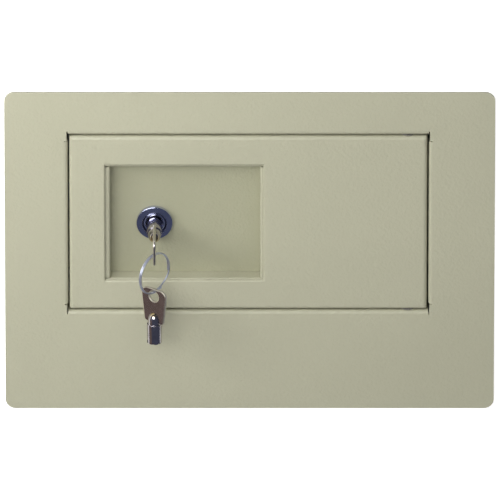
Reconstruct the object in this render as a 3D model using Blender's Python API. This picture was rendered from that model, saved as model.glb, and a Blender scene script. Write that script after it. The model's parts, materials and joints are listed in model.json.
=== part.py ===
"""Wall safe: a recessed steel box behind a trim plate, with an inset pan door.

A tubular cam lock sits in a recess in the door, with a key in it and a spare key hanging
from the first one by a split ring. Metres, +X right, +Y into the wall, +Z up. The origin
is on the back of the trim plate, in the middle of the strip under the body that lies on
the wall.
"""
import math

import bmesh
import bpy
from mathutils import Matrix, Vector

# Sheet thicknesses, folds and clearances
SKIN = 0.0019              # trim plate and door skin
WALL = 0.0015              # body sheet
LINER = 0.0012             # recess box and door backing
FOLD_RADIUS = 0.0024       # outside radius of a fold in the thick sheet
SEAT_GAP = 0.0003          # between pieces that touch
RUNNING_GAP = 0.0002       # round the hinge pins
EDGE_CHAMFER = 0.0004      # on turned pins, posts and barrels

# Trim plate and its opening
PLATE_HEIGHT = 0.2223
PLATE_CORNER = 0.0064
MARGIN_LEFT = 0.0388       # from the plate's left edge to the opening
MARGIN_RIGHT = 0.0409
MARGIN_TOP = 0.0296
OPENING_FLANGE = 0.0160    # depth of the folded flanges round the opening
CORNER_RELIEF = 0.0050     # length left unfolded at each end of the side flanges
RELIEF_SLIT = 0.0006       # width of the slit between a fold and the flat corner
RELIEF_EDGE = 0.0007       # how far the flat corner stands back from the opening

# Door
DOOR_WIDTH = 0.2225
DOOR_HEIGHT = 0.1213
DOOR_DEPTH = 0.0180
DOOR_CORNER = 0.0009       # radius of the door's welded corners
GAP_LEFT = 0.0014
GAP_RIGHT = 0.0012
GAP_TOP = 0.0013
GAP_BOTTOM = 0.0013

# Body
BODY_INSET = 0.0190        # how far the plate overlaps the wall round the body
BODY_DEPTH = 0.0980
BODY_CORNER = 0.0030
BACK_FLANGE = 0.0120
STUD_HOLE = 0.0050         # screw holes in the sides
STUD_HOLE_FRONT = 0.0400   # first hole from the wall surface
STUD_HOLE_BACK = 0.0200    # last hole from the back
STUD_HOLE_PITCH = 0.1200   # up the side

# Hinge
PIVOT_INSET = 0.0120       # from the door's right edge
PIVOT_DEPTH = 0.0048       # behind the door's face
PIN_DIAMETER = 0.0040
PIN_HEAD = 0.0054
PIN_HEAD_HEIGHT = 0.0016
PIVOT_PLATE = (0.0360, 0.0110, 0.0025)
HINGE_BLOCK = (0.0200, 0.0085, 0.0080)
HINGE_WASHER = 0.0080

# Window and recess
WINDOW_LEFT = 0.0223       # from the door's left edge
WINDOW_TOP = 0.0201        # from the door's top edge
WINDOW_BOTTOM = 0.0203     # from the door's bottom edge
WINDOW_WIDTH = 0.0983
WINDOW_ROLL = 0.0013       # radius of the window's rolled edge
WINDOW_CORNER = 0.0006
LIP_LEFT = 0.0030          # how much of the recess lip shows at each side
LIP_RIGHT = 0.0019
LIP_TOP = 0.0021
LIP_BOTTOM = 0.0004
LIP_BEHIND = 0.0080        # how far the lip runs behind the skin
RECESS_DEPTH = 0.0120      # from the door's face to the lock plate
LOCK_PLATE = 0.0019

# Lock
LOCK_FROM_WINDOW_LEFT = 0.0306
LOCK_FROM_WINDOW_TOP = 0.0453
BEZEL_DIAMETER = 0.0226
BEZEL_HEIGHT = 0.0047
BEZEL_SIDE = 0.0016        # straight part of the bezel's side
DISH_DIAMETER = 0.0162
DISH_DEPTH = 0.0016
DISH_RIM = 0.0004          # drop from the bezel's crown to the dish's edge
HOUSING_DIAMETER = 0.0190
HOUSING_FLAT = 0.0160      # across the two flats
HOUSING_LENGTH = 0.0200    # behind the lock plate
KEYWAY_OUTER = 0.0106      # diameter of the ring-shaped keyway
POST_DIAMETER = 0.0059
KEYWAY_DEPTH = 0.0042
CORE_DIAMETER = 0.0136
PIN_COUNT = 7
TUMBLER_DIAMETER = 0.0015
TUMBLER_LENGTH = 0.0040
SPINDLE_DIAMETER = 0.0080
NUT_ACROSS_FLATS = 0.0240
NUT_HEIGHT = 0.0050
LOCK_WASHER = 0.0010
CAM_LENGTH = 0.0440        # from the lock's axis to the cam's tip
CAM_WIDTH = 0.0150
CAM_SHOULDER_WIDTH = 0.0112
CAM_NOSE_WIDTH = 0.0068
CAM_THICKNESS = 0.0024
CAM_STOP = 0.0015
CAM_STOP_STEP = 0.0021     # how far the stop washer is cut back over its short arc
CAM_STOP_SWEEP = math.radians(216)
CAM_SCREW_HEAD = 0.0085
CAM_SCREW_TOP = 0.0060
CAM_SCREW_HEIGHT = 0.0026
CAM_SCREW_SIDE = 0.0016
STRIKE_THICKNESS = 0.0020
STRIKE_REACH = 0.0200      # how far the strike covers the cam's path from the opening
STRIKE_HEIGHT = 0.0300
STOP_HEIGHT = 0.0160
STOP_INSET = 0.0100        # from the door's top and bottom edges to the stops' middles
STOP_REACH = 0.0080
BUMPER_THICKNESS = 0.0018
BUMPER_DIAMETER = 0.0060

# Door backing and what holds it
BACKING_SUNK = 0.0005      # how far the backing lies inside the pan's back edge
BACKING_HOLE = 0.0300
STANDOFF_DIAMETER = 0.0080
SCREW_HEAD = 0.0070
SCREW_HEAD_TOP = 0.0042
SCREW_HEAD_HEIGHT = 0.0020
SCREW_HEAD_SIDE = 0.0010
SCREW_DIAMETER = 0.0036
SCREW_LENGTH = 0.0083
SCREW_FROM_EDGE = 0.0120   # from the door's top and bottom edges
SCREW_FROM_LEFT = 0.0100
SCREW_PAST_WINDOW = 0.0220
SCREW_FROM_RIGHT = 0.0340

# Keys and ring
KEY_LENGTH = 0.0375
BARREL_DIAMETER = 0.0095
BARREL_BORE = 0.0075
BARREL_LENGTH = 0.0135     # up to the bow's shoulder
BARREL_FLOOR = 0.0005      # left under the slot that holds the tang
BARREL_SHOULDER = 0.0009   # rounding of the barrel's end round its neck
NECK_DIAMETER = 0.0070     # bullet-shaped neck, slotted to hold the bow
NECK_HEIGHT = 0.0072       # up the bow from its shoulder
BOW_END_WIDTH = 0.0190
BOW_SHOULDER_WIDTH = 0.0150
BOW_THICKNESS = 0.0018
BOW_CORNER = 0.0045
BOW_SHOULDER_CORNER = 0.0023
BOW_TANG_WIDTH = 0.0060
BOW_TANG_LENGTH = 0.0030
BOW_HOLE = 0.0076
BOW_HOLE_FROM_END = 0.0052
KEY_INSERTION = 0.0030
KEY_DROOP = math.radians(8)
KEY_PLAY = 0.0002          # how far the drooping key's axis drops at the keyway's mouth
RING_RADIUS = 0.0132       # to the middle of the wire
RING_WIRE = 0.0010
RING_PITCH = 0.00145       # between the two turns
RING_YAW = math.radians(48.5)
SPARE_TWIST = math.radians(36.6)

MAT_THICKNESS = 0.0020
MAT_MARGIN = 0.0060

ROUND = 32                 # sides of a round piece
SMALL_ROUND = 16

# Places worked out from the sizes
OPEN_WIDTH = GAP_LEFT + DOOR_WIDTH + GAP_RIGHT
PLATE_WIDTH = MARGIN_LEFT + OPEN_WIDTH + MARGIN_RIGHT
PLATE_BOTTOM = -BODY_INSET / 2
PLATE_TOP = PLATE_BOTTOM + PLATE_HEIGHT
PLATE_LEFT = -PLATE_WIDTH / 2
FACE_Y = -SKIN
OPEN_LEFT = PLATE_LEFT + MARGIN_LEFT
OPEN_RIGHT = OPEN_LEFT + OPEN_WIDTH
OPEN_TOP = PLATE_TOP - MARGIN_TOP
OPEN_BOTTOM = OPEN_TOP - GAP_TOP - DOOR_HEIGHT - GAP_BOTTOM
DOOR_LEFT = OPEN_LEFT + GAP_LEFT
DOOR_RIGHT = DOOR_LEFT + DOOR_WIDTH
DOOR_TOP = OPEN_TOP - GAP_TOP
DOOR_BOTTOM = DOOR_TOP - DOOR_HEIGHT
WIN_LEFT = DOOR_LEFT + WINDOW_LEFT
WIN_RIGHT = WIN_LEFT + WINDOW_WIDTH
WIN_TOP = DOOR_TOP - WINDOW_TOP
WIN_BOTTOM = DOOR_BOTTOM + WINDOW_BOTTOM
BODY_LEFT = PLATE_LEFT + BODY_INSET
BODY_RIGHT = -BODY_LEFT
BODY_TOP = PLATE_TOP - BODY_INSET
BODY_BOTTOM = PLATE_BOTTOM + BODY_INSET
PIVOT = Vector((DOOR_RIGHT - PIVOT_INSET, FACE_Y + PIVOT_DEPTH, 0))
LOCK_PLATE_Y = FACE_Y + RECESS_DEPTH
LOCK = Vector((WIN_LEFT + LOCK_FROM_WINDOW_LEFT, LOCK_PLATE_Y, WIN_TOP - LOCK_FROM_WINDOW_TOP))
MOUTH_Y = LOCK_PLATE_Y - BEZEL_HEIGHT + DISH_DEPTH
HOUSING_END_Y = LOCK_PLATE_Y + LOCK_PLATE + HOUSING_LENGTH
CAM_Y = HOUSING_END_Y + SEAT_GAP + CAM_STOP + SEAT_GAP


def material(name, colour, roughness, metallic):
    """Return one Principled material."""
    mat = bpy.data.materials.new(name)
    mat.use_nodes = True
    shader = mat.node_tree.nodes["Principled BSDF"]
    shader.inputs["Base Color"].default_value = (*colour, 1)
    shader.inputs["Roughness"].default_value = roughness
    shader.inputs["Metallic"].default_value = metallic
    return mat


def make_object(name, bm, mat, smooth=False):
    """Turn a bmesh into a named object with its faces pointing out."""
    bmesh.ops.recalc_face_normals(bm, faces=bm.faces)
    mesh = bpy.data.meshes.new(name)
    bm.to_mesh(mesh)
    bm.free()
    if mat:
        mesh.materials.append(mat)
    if smooth:
        mesh.shade_smooth()
        mesh.set_sharp_from_angle(angle=math.radians(35))
    obj = bpy.data.objects.new(name, mesh)
    bpy.context.scene.collection.objects.link(obj)
    return obj


def add_box(bm, low, high):
    """Add a closed box between two corners."""
    size = [b - a for a, b in zip(low, high)]
    centre = [(a + b) / 2 for a, b in zip(low, high)]
    matrix = Matrix.Translation(centre) @ Matrix.Diagonal((*size, 1))
    bmesh.ops.create_cube(bm, size=1, matrix=matrix)


def add_prism(bm, points, base, top, matrix=Matrix.Identity(4)):
    """Add an outline in local XY, extruded along local Z."""
    low = [bm.verts.new(matrix @ Vector((x, y, base))) for x, y in points]
    high = [bm.verts.new(matrix @ Vector((x, y, top))) for x, y in points]
    count = len(points)
    bm.faces.new(low)
    bm.faces.new(high)
    for i in range(count):
        j = (i + 1) % count
        bm.faces.new((low[i], low[j], high[j], high[i]))


def add_turned(bm, profile, matrix, sides=ROUND, hollow=False):
    """Add a solid turned about local Z from (radius, height) points."""
    rings = []
    for radius, height in profile:
        if radius == 0:
            rings.append([bm.verts.new(matrix @ Vector((0, 0, height)))])
            continue
        ring = []
        for k in range(sides):
            angle = 2 * math.pi * k / sides
            point = Vector((radius * math.cos(angle), radius * math.sin(angle), height))
            ring.append(bm.verts.new(matrix @ point))
        rings.append(ring)
    pairs = list(zip(rings, rings[1:]))
    if hollow:
        pairs.append((rings[-1], rings[0]))
    for a, b in pairs:
        for k in range(sides):
            j = (k + 1) % sides
            face = [a[k % len(a)], a[j % len(a)], b[j % len(b)], b[k % len(b)]]
            bm.faces.new(list(dict.fromkeys(face)))


def add_cylinder(bm, radius, base, top, matrix, sides=SMALL_ROUND):
    """Add a plain closed cylinder along local Z."""
    add_turned(bm, [(0, base), (radius, base), (radius, top), (0, top)], matrix, sides)


def add_tube(bm, inner, outer, base, top, matrix, sides=SMALL_ROUND):
    """Add a plain tube along local Z."""
    profile = [(inner, base), (outer, base), (outer, top), (inner, top)]
    add_turned(bm, profile, matrix, sides, hollow=True)


def along_y(x, y, z):
    """Return a matrix whose local Z runs into the wall from a point."""
    return Matrix.Translation((x, y, z)) @ Matrix.Rotation(-math.pi / 2, 4, "X")


def cut(obj, name, build):
    """Cut an object with a hidden wire cutter that build(bm) draws."""
    bm = bmesh.new()
    build(bm)
    cutter = make_object(name, bm, None)
    cutter.hide_render = True
    cutter.display_type = "WIRE"
    modifier = obj.modifiers.new(name, "BOOLEAN")
    modifier.operation = "DIFFERENCE"
    modifier.object = cutter


def thicken(obj, thickness):
    """Give a folded surface its sheet thickness on its hidden side."""
    modifier = obj.modifiers.new("sheet", "SOLIDIFY")
    modifier.thickness = thickness
    modifier.offset = -1
    modifier.use_even_offset = True


def rounded_rectangle(x0, x1, z0, z1, radius, steps=6):
    """Return the outline of a rectangle with round corners, anticlockwise."""
    corners = [(x1 - radius, z1 - radius, 0), (x0 + radius, z1 - radius, 1),
               (x0 + radius, z0 + radius, 2), (x1 - radius, z0 + radius, 3)]
    points = []
    for cx, cz, quarter in corners:
        for k in range(steps + 1):
            angle = (quarter + k / steps) * math.pi / 2
            points.append((cx + radius * math.cos(angle), cz + radius * math.sin(angle)))
    return points


def add_loop(bm, points, y):
    """Add a closed loop of edges in a plane square to Y."""
    verts = [bm.verts.new((x, y, z)) for x, z in points]
    return [bm.edges.new((a, b)) for a, b in zip(verts, verts[1:] + verts[:1])]


def fold(bm, line, outward, radius, depth):
    """Fold a flange back from a bend line between two points."""
    last = line
    start = (line[0].co.copy(), line[1].co.copy())
    for out, back in fold_stations(radius, depth)[1:]:
        shift = Vector((outward[0] * out, back, outward[1] * out))
        pair = (bm.verts.new(start[0] + shift), bm.verts.new(start[1] + shift))
        bm.faces.new((last[0], last[1], pair[1], pair[0]))
        last = pair


def offset_box(box, grow):
    """Return a rectangle grown all round."""
    x0, x1, z0, z1 = box
    return (x0 - grow, x1 + grow, z0 - grow, z1 + grow)


def fold_stations(radius, depth, steps=4):
    """Return (out, back) along a fold: a quarter round, then straight to its depth."""
    angles = [k / steps * math.pi / 2 for k in range(steps + 1)]
    stations = [(radius * math.sin(a), radius * (1 - math.cos(a))) for a in angles]
    return stations + [(radius, depth)]


def pan(bm, box, y, radius, depth, corner, window=None, inward=1):
    """Add a flat panel whose edges are folded back all round, with welded corners."""
    flat = offset_box(box, -radius)
    last = None
    for out, back in fold_stations(radius, depth):
        outline = rounded_rectangle(*offset_box(flat, out), corner, 2)
        loop = [bm.verts.new((x, y + inward * back, z)) for x, z in outline]
        if last is None:
            edges = [bm.edges.new((a, b)) for a, b in zip(loop, loop[1:] + loop[:1])]
        else:
            count = len(loop)
            for k in range(count):
                j = (k + 1) % count
                bm.faces.new((last[k], last[j], loop[j], loop[k]))
        last = loop
    if window:
        edges += window_edges(bm, window, y)
    bmesh.ops.triangle_fill(bm, edges=edges, use_beauty=True, normal=(0, -1, 0))


def window_edges(bm, window, y):
    """Add a window whose edge rolls back into the sheet, and return its outer loop."""
    loops = []
    for out, back in reversed(fold_stations(WINDOW_ROLL, WINDOW_ROLL, 3)[:-1]):
        outline = rounded_rectangle(*offset_box(window, WINDOW_ROLL - out), WINDOW_CORNER, 2)
        loops.append([bm.verts.new((x, y + back, z)) for x, z in outline])
    for a, b in zip(loops, loops[1:]):
        count = len(a)
        for k in range(count):
            j = (k + 1) % count
            bm.faces.new((a[k], a[j], b[j], b[k]))
    last = loops[-1]
    return [bm.edges.get((a, b)) for a, b in zip(last, last[1:] + last[:1])]


def orient(bm, outward):
    """Turn a surface's faces so that the one furthest along a direction looks that way."""
    bmesh.ops.recalc_face_normals(bm, faces=bm.faces)
    furthest = max(bm.faces, key=lambda f: f.calc_center_median().dot(outward))
    if furthest.normal.dot(outward) < 0:
        bmesh.ops.reverse_faces(bm, faces=bm.faces)


def sheet_object(name, bm, mat, thickness, outward):
    """Make a folded surface into a sheet-metal object."""
    orient(bm, Vector(outward))
    mesh = bpy.data.meshes.new(name)
    bm.to_mesh(mesh)
    bm.free()
    mesh.materials.append(mat)
    obj = bpy.data.objects.new(name, mesh)
    bpy.context.scene.collection.objects.link(obj)
    thicken(obj, thickness)
    return obj


def opening_outline():
    """Return the sheet's edge round the opening and the four bend lines in it.

    The top and bottom flanges run the whole width. The side flanges stop short of them,
    and a slit parts each fold from the flat corner.
    """
    left, right = OPEN_LEFT - FOLD_RADIUS, OPEN_RIGHT + FOLD_RADIUS
    low, high = OPEN_BOTTOM - FOLD_RADIUS, OPEN_TOP + FOLD_RADIUS
    points = []
    lines = []
    for x, bend_x, z, bend_z, turn in ((OPEN_LEFT, left, OPEN_BOTTOM, low, False),
                                       (OPEN_RIGHT, right, OPEN_BOTTOM, low, True),
                                       (OPEN_RIGHT, right, OPEN_TOP, high, False),
                                       (OPEN_LEFT, left, OPEN_TOP, high, True)):
        sx = 1 if x == OPEN_LEFT else -1
        sz = 1 if z == OPEN_BOTTOM else -1
        side = z + sz * CORNER_RELIEF
        flat = x - sx * RELIEF_EDGE
        corner = [(bend_x, side), (bend_x, side - sz * RELIEF_SLIT),
                  (flat, side - sz * RELIEF_SLIT), (flat, bend_z),
                  (flat + sx * RELIEF_SLIT, bend_z)]
        points += reversed(corner) if turn else corner
        lines.append(len(points) - 1)
    return points, lines


def front_plate(mat):
    """Trim plate, with flanges folded in round its opening."""
    bm = bmesh.new()
    outer = rounded_rectangle(PLATE_LEFT, -PLATE_LEFT, PLATE_BOTTOM, PLATE_TOP, PLATE_CORNER)
    edges = add_loop(bm, outer, FACE_Y)
    points, lines = opening_outline()
    verts = [bm.verts.new((x, FACE_Y, z)) for x, z in points]
    edges += [bm.edges.new((a, b)) for a, b in zip(verts, verts[1:] + verts[:1])]
    bmesh.ops.triangle_fill(bm, edges=edges, use_beauty=True, normal=(0, -1, 0))
    into_opening = [(0, 1), (-1, 0), (0, -1), (1, 0)]
    for index, inward in zip(lines, into_opening):
        line = (verts[index], verts[(index + 1) % len(verts)])
        fold(bm, line, inward, FOLD_RADIUS, OPENING_FLANGE)
    return sheet_object("front_plate", bm, mat, SKIN, (0, -1, 0))


def body_wrap(mat):
    """Top, bottom and sides of the body: one folded sheet, open at the front and back."""
    bm = bmesh.new()
    outline = rounded_rectangle(BODY_LEFT, BODY_RIGHT, BODY_BOTTOM, BODY_TOP, BODY_CORNER, 3)
    front = [bm.verts.new((x, SEAT_GAP, z)) for x, z in outline]
    back = [bm.verts.new((x, BODY_DEPTH, z)) for x, z in outline]
    count = len(outline)
    for i in range(count):
        j = (i + 1) % count
        bm.faces.new((front[i], front[j], back[j], back[i]))
    obj = sheet_object("body_wrap", bm, mat, WALL, (0, 0, 1))

    def stud_holes(cutter):
        middle = (BODY_TOP + BODY_BOTTOM) / 2
        reach = BODY_RIGHT + WALL
        for y in (STUD_HOLE_FRONT, BODY_DEPTH - STUD_HOLE_BACK):
            for z in (middle - STUD_HOLE_PITCH / 2, middle + STUD_HOLE_PITCH / 2):
                matrix = Matrix.Translation((0, y, z)) @ Matrix.Rotation(math.pi / 2, 4, "Y")
                add_cylinder(cutter, STUD_HOLE / 2, -reach, reach, matrix)

    cut(obj, "stud_hole_cutter", stud_holes)
    return obj


def body_back(mat):
    """Back panel, set in the wrap with its flanges turned forward."""
    bm = bmesh.new()
    inset = WALL + SEAT_GAP
    box = (BODY_LEFT + inset, BODY_RIGHT - inset, BODY_BOTTOM + inset, BODY_TOP - inset)
    pan(bm, box, BODY_DEPTH, BODY_CORNER, BACK_FLANGE, BODY_CORNER - inset, inward=-1)
    return sheet_object("body_back", bm, mat, WALL, (0, 1, 0))


def hinge_pieces(steel, dark):
    """Pivot plates, pins and washers on the frame, and the blocks in the door."""
    made = {}
    block_w, block_d, block_h = HINGE_BLOCK
    plate_w, plate_d, plate_h = PIVOT_PLATE
    for side, up in (("top", 1), ("bottom", -1)):
        edge = OPEN_TOP if up > 0 else OPEN_BOTTOM
        door_edge = DOOR_TOP if up > 0 else DOOR_BOTTOM
        seat = edge + up * (SKIN + SEAT_GAP)
        turn = Matrix.Identity(4) if up > 0 else Matrix.Rotation(math.pi, 4, "X")
        frame = Matrix.Translation((PIVOT.x, PIVOT.y, edge)) @ turn
        hole = PIN_DIAMETER / 2 + RUNNING_GAP

        bm = bmesh.new()
        base, top = sorted((seat, seat + up * plate_h))
        plate_front = 2 * SEAT_GAP
        add_box(bm, (PIVOT.x - plate_w / 2, plate_front, base),
                (PIVOT.x + plate_w / 2, plate_front + plate_d, top))
        name = "pivot_plate_" + side
        made[name] = make_object(name, bm, steel)

        bm = bmesh.new()
        gap = GAP_TOP if up > 0 else GAP_BOTTOM
        head_base = SKIN + SEAT_GAP + plate_h + SEAT_GAP
        foot = -(gap + SKIN + SEAT_GAP + block_h)
        radius = PIN_DIAMETER / 2
        add_turned(bm, [(0, foot), (radius - EDGE_CHAMFER, foot), (radius, foot + EDGE_CHAMFER),
                        (radius, head_base), (PIN_HEAD / 2, head_base),
                        (PIN_HEAD / 2, head_base + PIN_HEAD_HEIGHT),
                        (0, head_base + PIN_HEAD_HEIGHT)], frame, SMALL_ROUND)
        name = "hinge_pin_" + side
        made[name] = make_object(name, bm, steel, smooth=True)

        thickness = gap - 2 * SEAT_GAP
        bm = bmesh.new()
        add_tube(bm, hole, HINGE_WASHER / 2, -SEAT_GAP - thickness, -SEAT_GAP, frame)
        name = "hinge_washer_" + side
        made[name] = make_object(name, bm, dark)

        bm = bmesh.new()
        outer = door_edge - up * (SKIN + SEAT_GAP)
        base, top = sorted((outer, outer - up * block_h))
        block_front = FACE_Y + SKIN + SEAT_GAP
        right = DOOR_RIGHT - SKIN - SEAT_GAP
        add_box(bm, (right - block_w, block_front, base), (right, block_front + block_d, top))
        name = "hinge_block_" + side
        made[name] = make_object(name, bm, steel)

        def pin_hole(cutter, frame=frame, hole=hole):
            add_cylinder(cutter, hole, -3 * block_h, 3 * block_h, frame)

        for target in ("front_plate", "pivot_plate_" + side, "door_skin", "hinge_block_" + side):
            cut(bpy.data.objects[target], "pin_hole_%s_%s" % (side, target), pin_hole)
    return made


def door_skin(mat):
    """Door pan: flat face, edges folded back, and a window with a rolled edge."""
    bm = bmesh.new()
    box = (DOOR_LEFT, DOOR_RIGHT, DOOR_BOTTOM, DOOR_TOP)
    window = (WIN_LEFT, WIN_RIGHT, WIN_BOTTOM, WIN_TOP)
    pan(bm, box, FACE_Y, FOLD_RADIUS, DOOR_DEPTH, DOOR_CORNER, window)
    return sheet_object("door_skin", bm, mat, SKIN, (0, -1, 0))


def recess_box(mat):
    """Four walls of the lock recess, with a lip that lies behind the door's skin."""
    bm = bmesh.new()
    cavity = recess_cavity()
    front = FACE_Y + SKIN + SEAT_GAP
    back = LOCK_PLATE_Y - SEAT_GAP
    lip = offset_box((WIN_LEFT, WIN_RIGHT, WIN_BOTTOM, WIN_TOP), LIP_BEHIND)
    rings = []
    outer = offset_box(cavity, LINER)
    for box, y in ((lip, front), (cavity, front), (cavity, back), (outer, back),
                   (outer, front + LINER), (lip, front + LINER)):
        bx0, bx1, bz0, bz1 = box
        corners = [(bx0, bz0), (bx1, bz0), (bx1, bz1), (bx0, bz1)]
        rings.append([bm.verts.new((x, y, z)) for x, z in corners])
    for a, b in zip(rings, rings[1:] + rings[:1]):
        for k in range(4):
            j = (k + 1) % 4
            bm.faces.new((a[k], a[j], b[j], b[k]))
    return make_object("recess_box", bm, mat)


def recess_cavity():
    """Return the clear rectangle inside the recess walls."""
    return (WIN_LEFT + LIP_LEFT, WIN_RIGHT - LIP_RIGHT, WIN_BOTTOM + LIP_BOTTOM, WIN_TOP - LIP_TOP)


def lock_plate(mat):
    """Back wall of the recess, with the lock's hole with two flats."""
    bm = bmesh.new()
    x0, x1, z0, z1 = recess_cavity()
    add_box(bm, (x0 - LINER, LOCK_PLATE_Y, z0 - LINER),
            (x1 + LINER, LOCK_PLATE_Y + LOCK_PLATE, z1 + LINER))
    obj = make_object("lock_plate", bm, mat)

    def lock_hole(cutter):
        add_flatted(cutter, HOUSING_DIAMETER / 2 + SEAT_GAP, HOUSING_FLAT / 2 + SEAT_GAP,
                    -LOCK_PLATE, 2 * LOCK_PLATE, along_y(*LOCK))

    cut(obj, "lock_hole_cutter", lock_hole)
    return obj


def flatted_outline(radius, half_flat, sides=ROUND):
    """Return a circle's outline with two flats at its sides."""
    points = []
    for k in range(sides):
        angle = 2 * math.pi * (k + 0.5) / sides
        x = max(-half_flat, min(half_flat, radius * math.cos(angle)))
        points.append((x, radius * math.sin(angle)))
    return points


def add_flatted(bm, radius, half_flat, base, top, matrix):
    """Add a round bar with two flats along local Z."""
    add_prism(bm, flatted_outline(radius, half_flat), base, top, matrix)


def hexagon(across_flats):
    """Return a hexagon's outline."""
    radius = across_flats / math.sqrt(3)
    return [(radius * math.cos(k * math.pi / 3), radius * math.sin(k * math.pi / 3))
            for k in range(6)]


def lock_housing(mat):
    """Lock barrel with its round dished bezel, and the bore that its core turns in."""
    bm = bmesh.new()
    matrix = along_y(LOCK.x, LOCK_PLATE_Y, LOCK.z)
    bezel = BEZEL_DIAMETER / 2
    dish = DISH_DIAMETER / 2
    crown = (bezel + dish) / 2
    seat = -SEAT_GAP
    mouth = CORE_DIAMETER / 2 + SEAT_GAP
    front = [(bezel, seat), (bezel, -BEZEL_SIDE)]
    arc = 5
    for k in range(1, arc + 1):
        angle = k / arc * math.pi / 2
        front.append((crown + (bezel - crown) * math.cos(angle),
                      -BEZEL_SIDE - (BEZEL_HEIGHT - BEZEL_SIDE) * math.sin(angle)))
    front.append((dish, -BEZEL_HEIGHT + DISH_RIM))
    front.append((mouth, -BEZEL_HEIGHT + DISH_DEPTH))
    length = LOCK_PLATE + HOUSING_LENGTH
    body = HOUSING_DIAMETER / 2
    profile = front + [(mouth, length), (body, length), (body, seat)]
    add_turned(bm, profile, matrix, ROUND, hollow=True)
    obj = make_object("lock_housing", bm, mat, smooth=True)

    def flats(cutter):
        front = LOCK_PLATE_Y - SEAT_GAP / 2
        for side in (-1, 1):
            x0, x1 = sorted((LOCK.x + side * HOUSING_FLAT / 2, LOCK.x + side * HOUSING_DIAMETER))
            add_box(cutter, (x0, front, LOCK.z - HOUSING_DIAMETER),
                    (x1, front + 2 * length, LOCK.z + HOUSING_DIAMETER))

    cut(obj, "housing_flat_cutter", flats)
    return obj


def lock_inner(steel, brass):
    """Core with its post and ring-shaped keyway, its seven tumblers, and what it drives."""
    made = {}
    mouth = along_y(LOCK.x, MOUTH_Y, LOCK.z)
    core = CORE_DIAMETER / 2
    post = POST_DIAMETER / 2
    keyway = KEYWAY_OUTER / 2
    length = HOUSING_END_Y - MOUTH_Y
    spindle = SPINDLE_DIAMETER / 2
    tail = CAM_Y + CAM_THICKNESS - MOUTH_Y
    bm = bmesh.new()
    add_turned(bm, [(0, 0), (post - EDGE_CHAMFER, 0), (post, EDGE_CHAMFER), (post, KEYWAY_DEPTH),
                    (keyway, KEYWAY_DEPTH), (keyway, 0), (core, 0), (core, length),
                    (spindle, length), (spindle, tail), (0, tail)], mouth, ROUND)
    plug = make_object("lock_core", bm, steel, smooth=True)
    made["lock_core"] = plug
    pitch = (post + keyway) / 2
    angles = [2 * math.pi * k / PIN_COUNT + math.pi / 2 for k in range(PIN_COUNT)]
    tumbler_places = [mouth @ Matrix.Translation((pitch * math.cos(a), pitch * math.sin(a), 0))
                      for a in angles]
    top = KEYWAY_DEPTH - SEAT_GAP
    base = KEYWAY_DEPTH + TUMBLER_LENGTH

    def tumbler_bores(cutter):
        for place in tumbler_places:
            add_cylinder(cutter, TUMBLER_DIAMETER / 2 + SEAT_GAP, top, base + SEAT_GAP, place, 8)

    cut(plug, "tumbler_cutter", tumbler_bores)
    for number, place in enumerate(tumbler_places, 1):
        bm = bmesh.new()
        add_cylinder(bm, TUMBLER_DIAMETER / 2, top + SEAT_GAP, base, place, 8)
        name = "tumbler_pin_%d" % number
        made[name] = make_object(name, bm, brass)

    back = along_y(LOCK.x, LOCK_PLATE_Y + LOCK_PLATE, LOCK.z)
    hole = HOUSING_DIAMETER / 2 + SEAT_GAP
    bm = bmesh.new()
    add_tube(bm, hole, NUT_ACROSS_FLATS / 2, SEAT_GAP, SEAT_GAP + LOCK_WASHER, back, ROUND)
    made["lock_washer"] = make_object("lock_washer", bm, steel)
    bm = bmesh.new()
    nut_base = LOCK_WASHER + 2 * SEAT_GAP
    add_prism(bm, hexagon(NUT_ACROSS_FLATS), nut_base, nut_base + NUT_HEIGHT, back)
    nut = make_object("lock_nut", bm, steel)
    cut(nut, "nut_hole_cutter",
        lambda bm: add_cylinder(bm, hole, 0, nut_base + 2 * NUT_HEIGHT, back, ROUND))
    made["lock_nut"] = nut

    square = SPINDLE_DIAMETER / 2 + SEAT_GAP
    bm = bmesh.new()
    stop = along_y(LOCK.x, HOUSING_END_Y + SEAT_GAP, LOCK.z)
    stop_radius = HOUSING_DIAMETER / 2
    outline = []
    for k in range(ROUND):
        angle = 2 * math.pi * k / ROUND
        radius = stop_radius if angle < CAM_STOP_SWEEP else stop_radius - CAM_STOP_STEP
        outline.append((radius * math.cos(angle), radius * math.sin(angle)))
    add_prism(bm, outline, 0, CAM_STOP, stop)
    washer = make_object("cam_stop_washer", bm, steel)
    bm = bmesh.new()
    cam = along_y(LOCK.x, CAM_Y, LOCK.z)
    half = CAM_WIDTH / 2
    reach = CAM_LENGTH - half
    outline = [(half * math.cos(a), -half * math.sin(a))
               for a in [math.pi * (1 + k / 12) for k in range(13)]]
    tip = CAM_SHOULDER_WIDTH / 2
    nose = CAM_NOSE_WIDTH / 2
    outline += [(tip, reach), (nose, CAM_LENGTH), (-nose, CAM_LENGTH), (-tip, reach)]
    add_prism(bm, outline, 0, CAM_THICKNESS, cam)
    arm = make_object("lock_cam", bm, steel)
    for target in (washer, arm):
        cut(target, "spindle_hole_" + target.name,
            lambda bm: add_cylinder(bm, square, -CAM_STOP, 4 * CAM_THICKNESS, stop, SMALL_ROUND))
    made["cam_stop_washer"] = washer
    made["lock_cam"] = arm
    bm = bmesh.new()
    screw = along_y(LOCK.x, MOUTH_Y + tail + SEAT_GAP, LOCK.z)
    head = CAM_SCREW_HEAD / 2
    add_turned(bm, [(0, 0), (head, 0), (head, CAM_SCREW_SIDE),
                    (CAM_SCREW_TOP / 2, CAM_SCREW_HEIGHT), (0, CAM_SCREW_HEIGHT)],
               screw, SMALL_ROUND)
    made["cam_screw"] = make_object("cam_screw", bm, steel, smooth=True)
    return made


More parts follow.
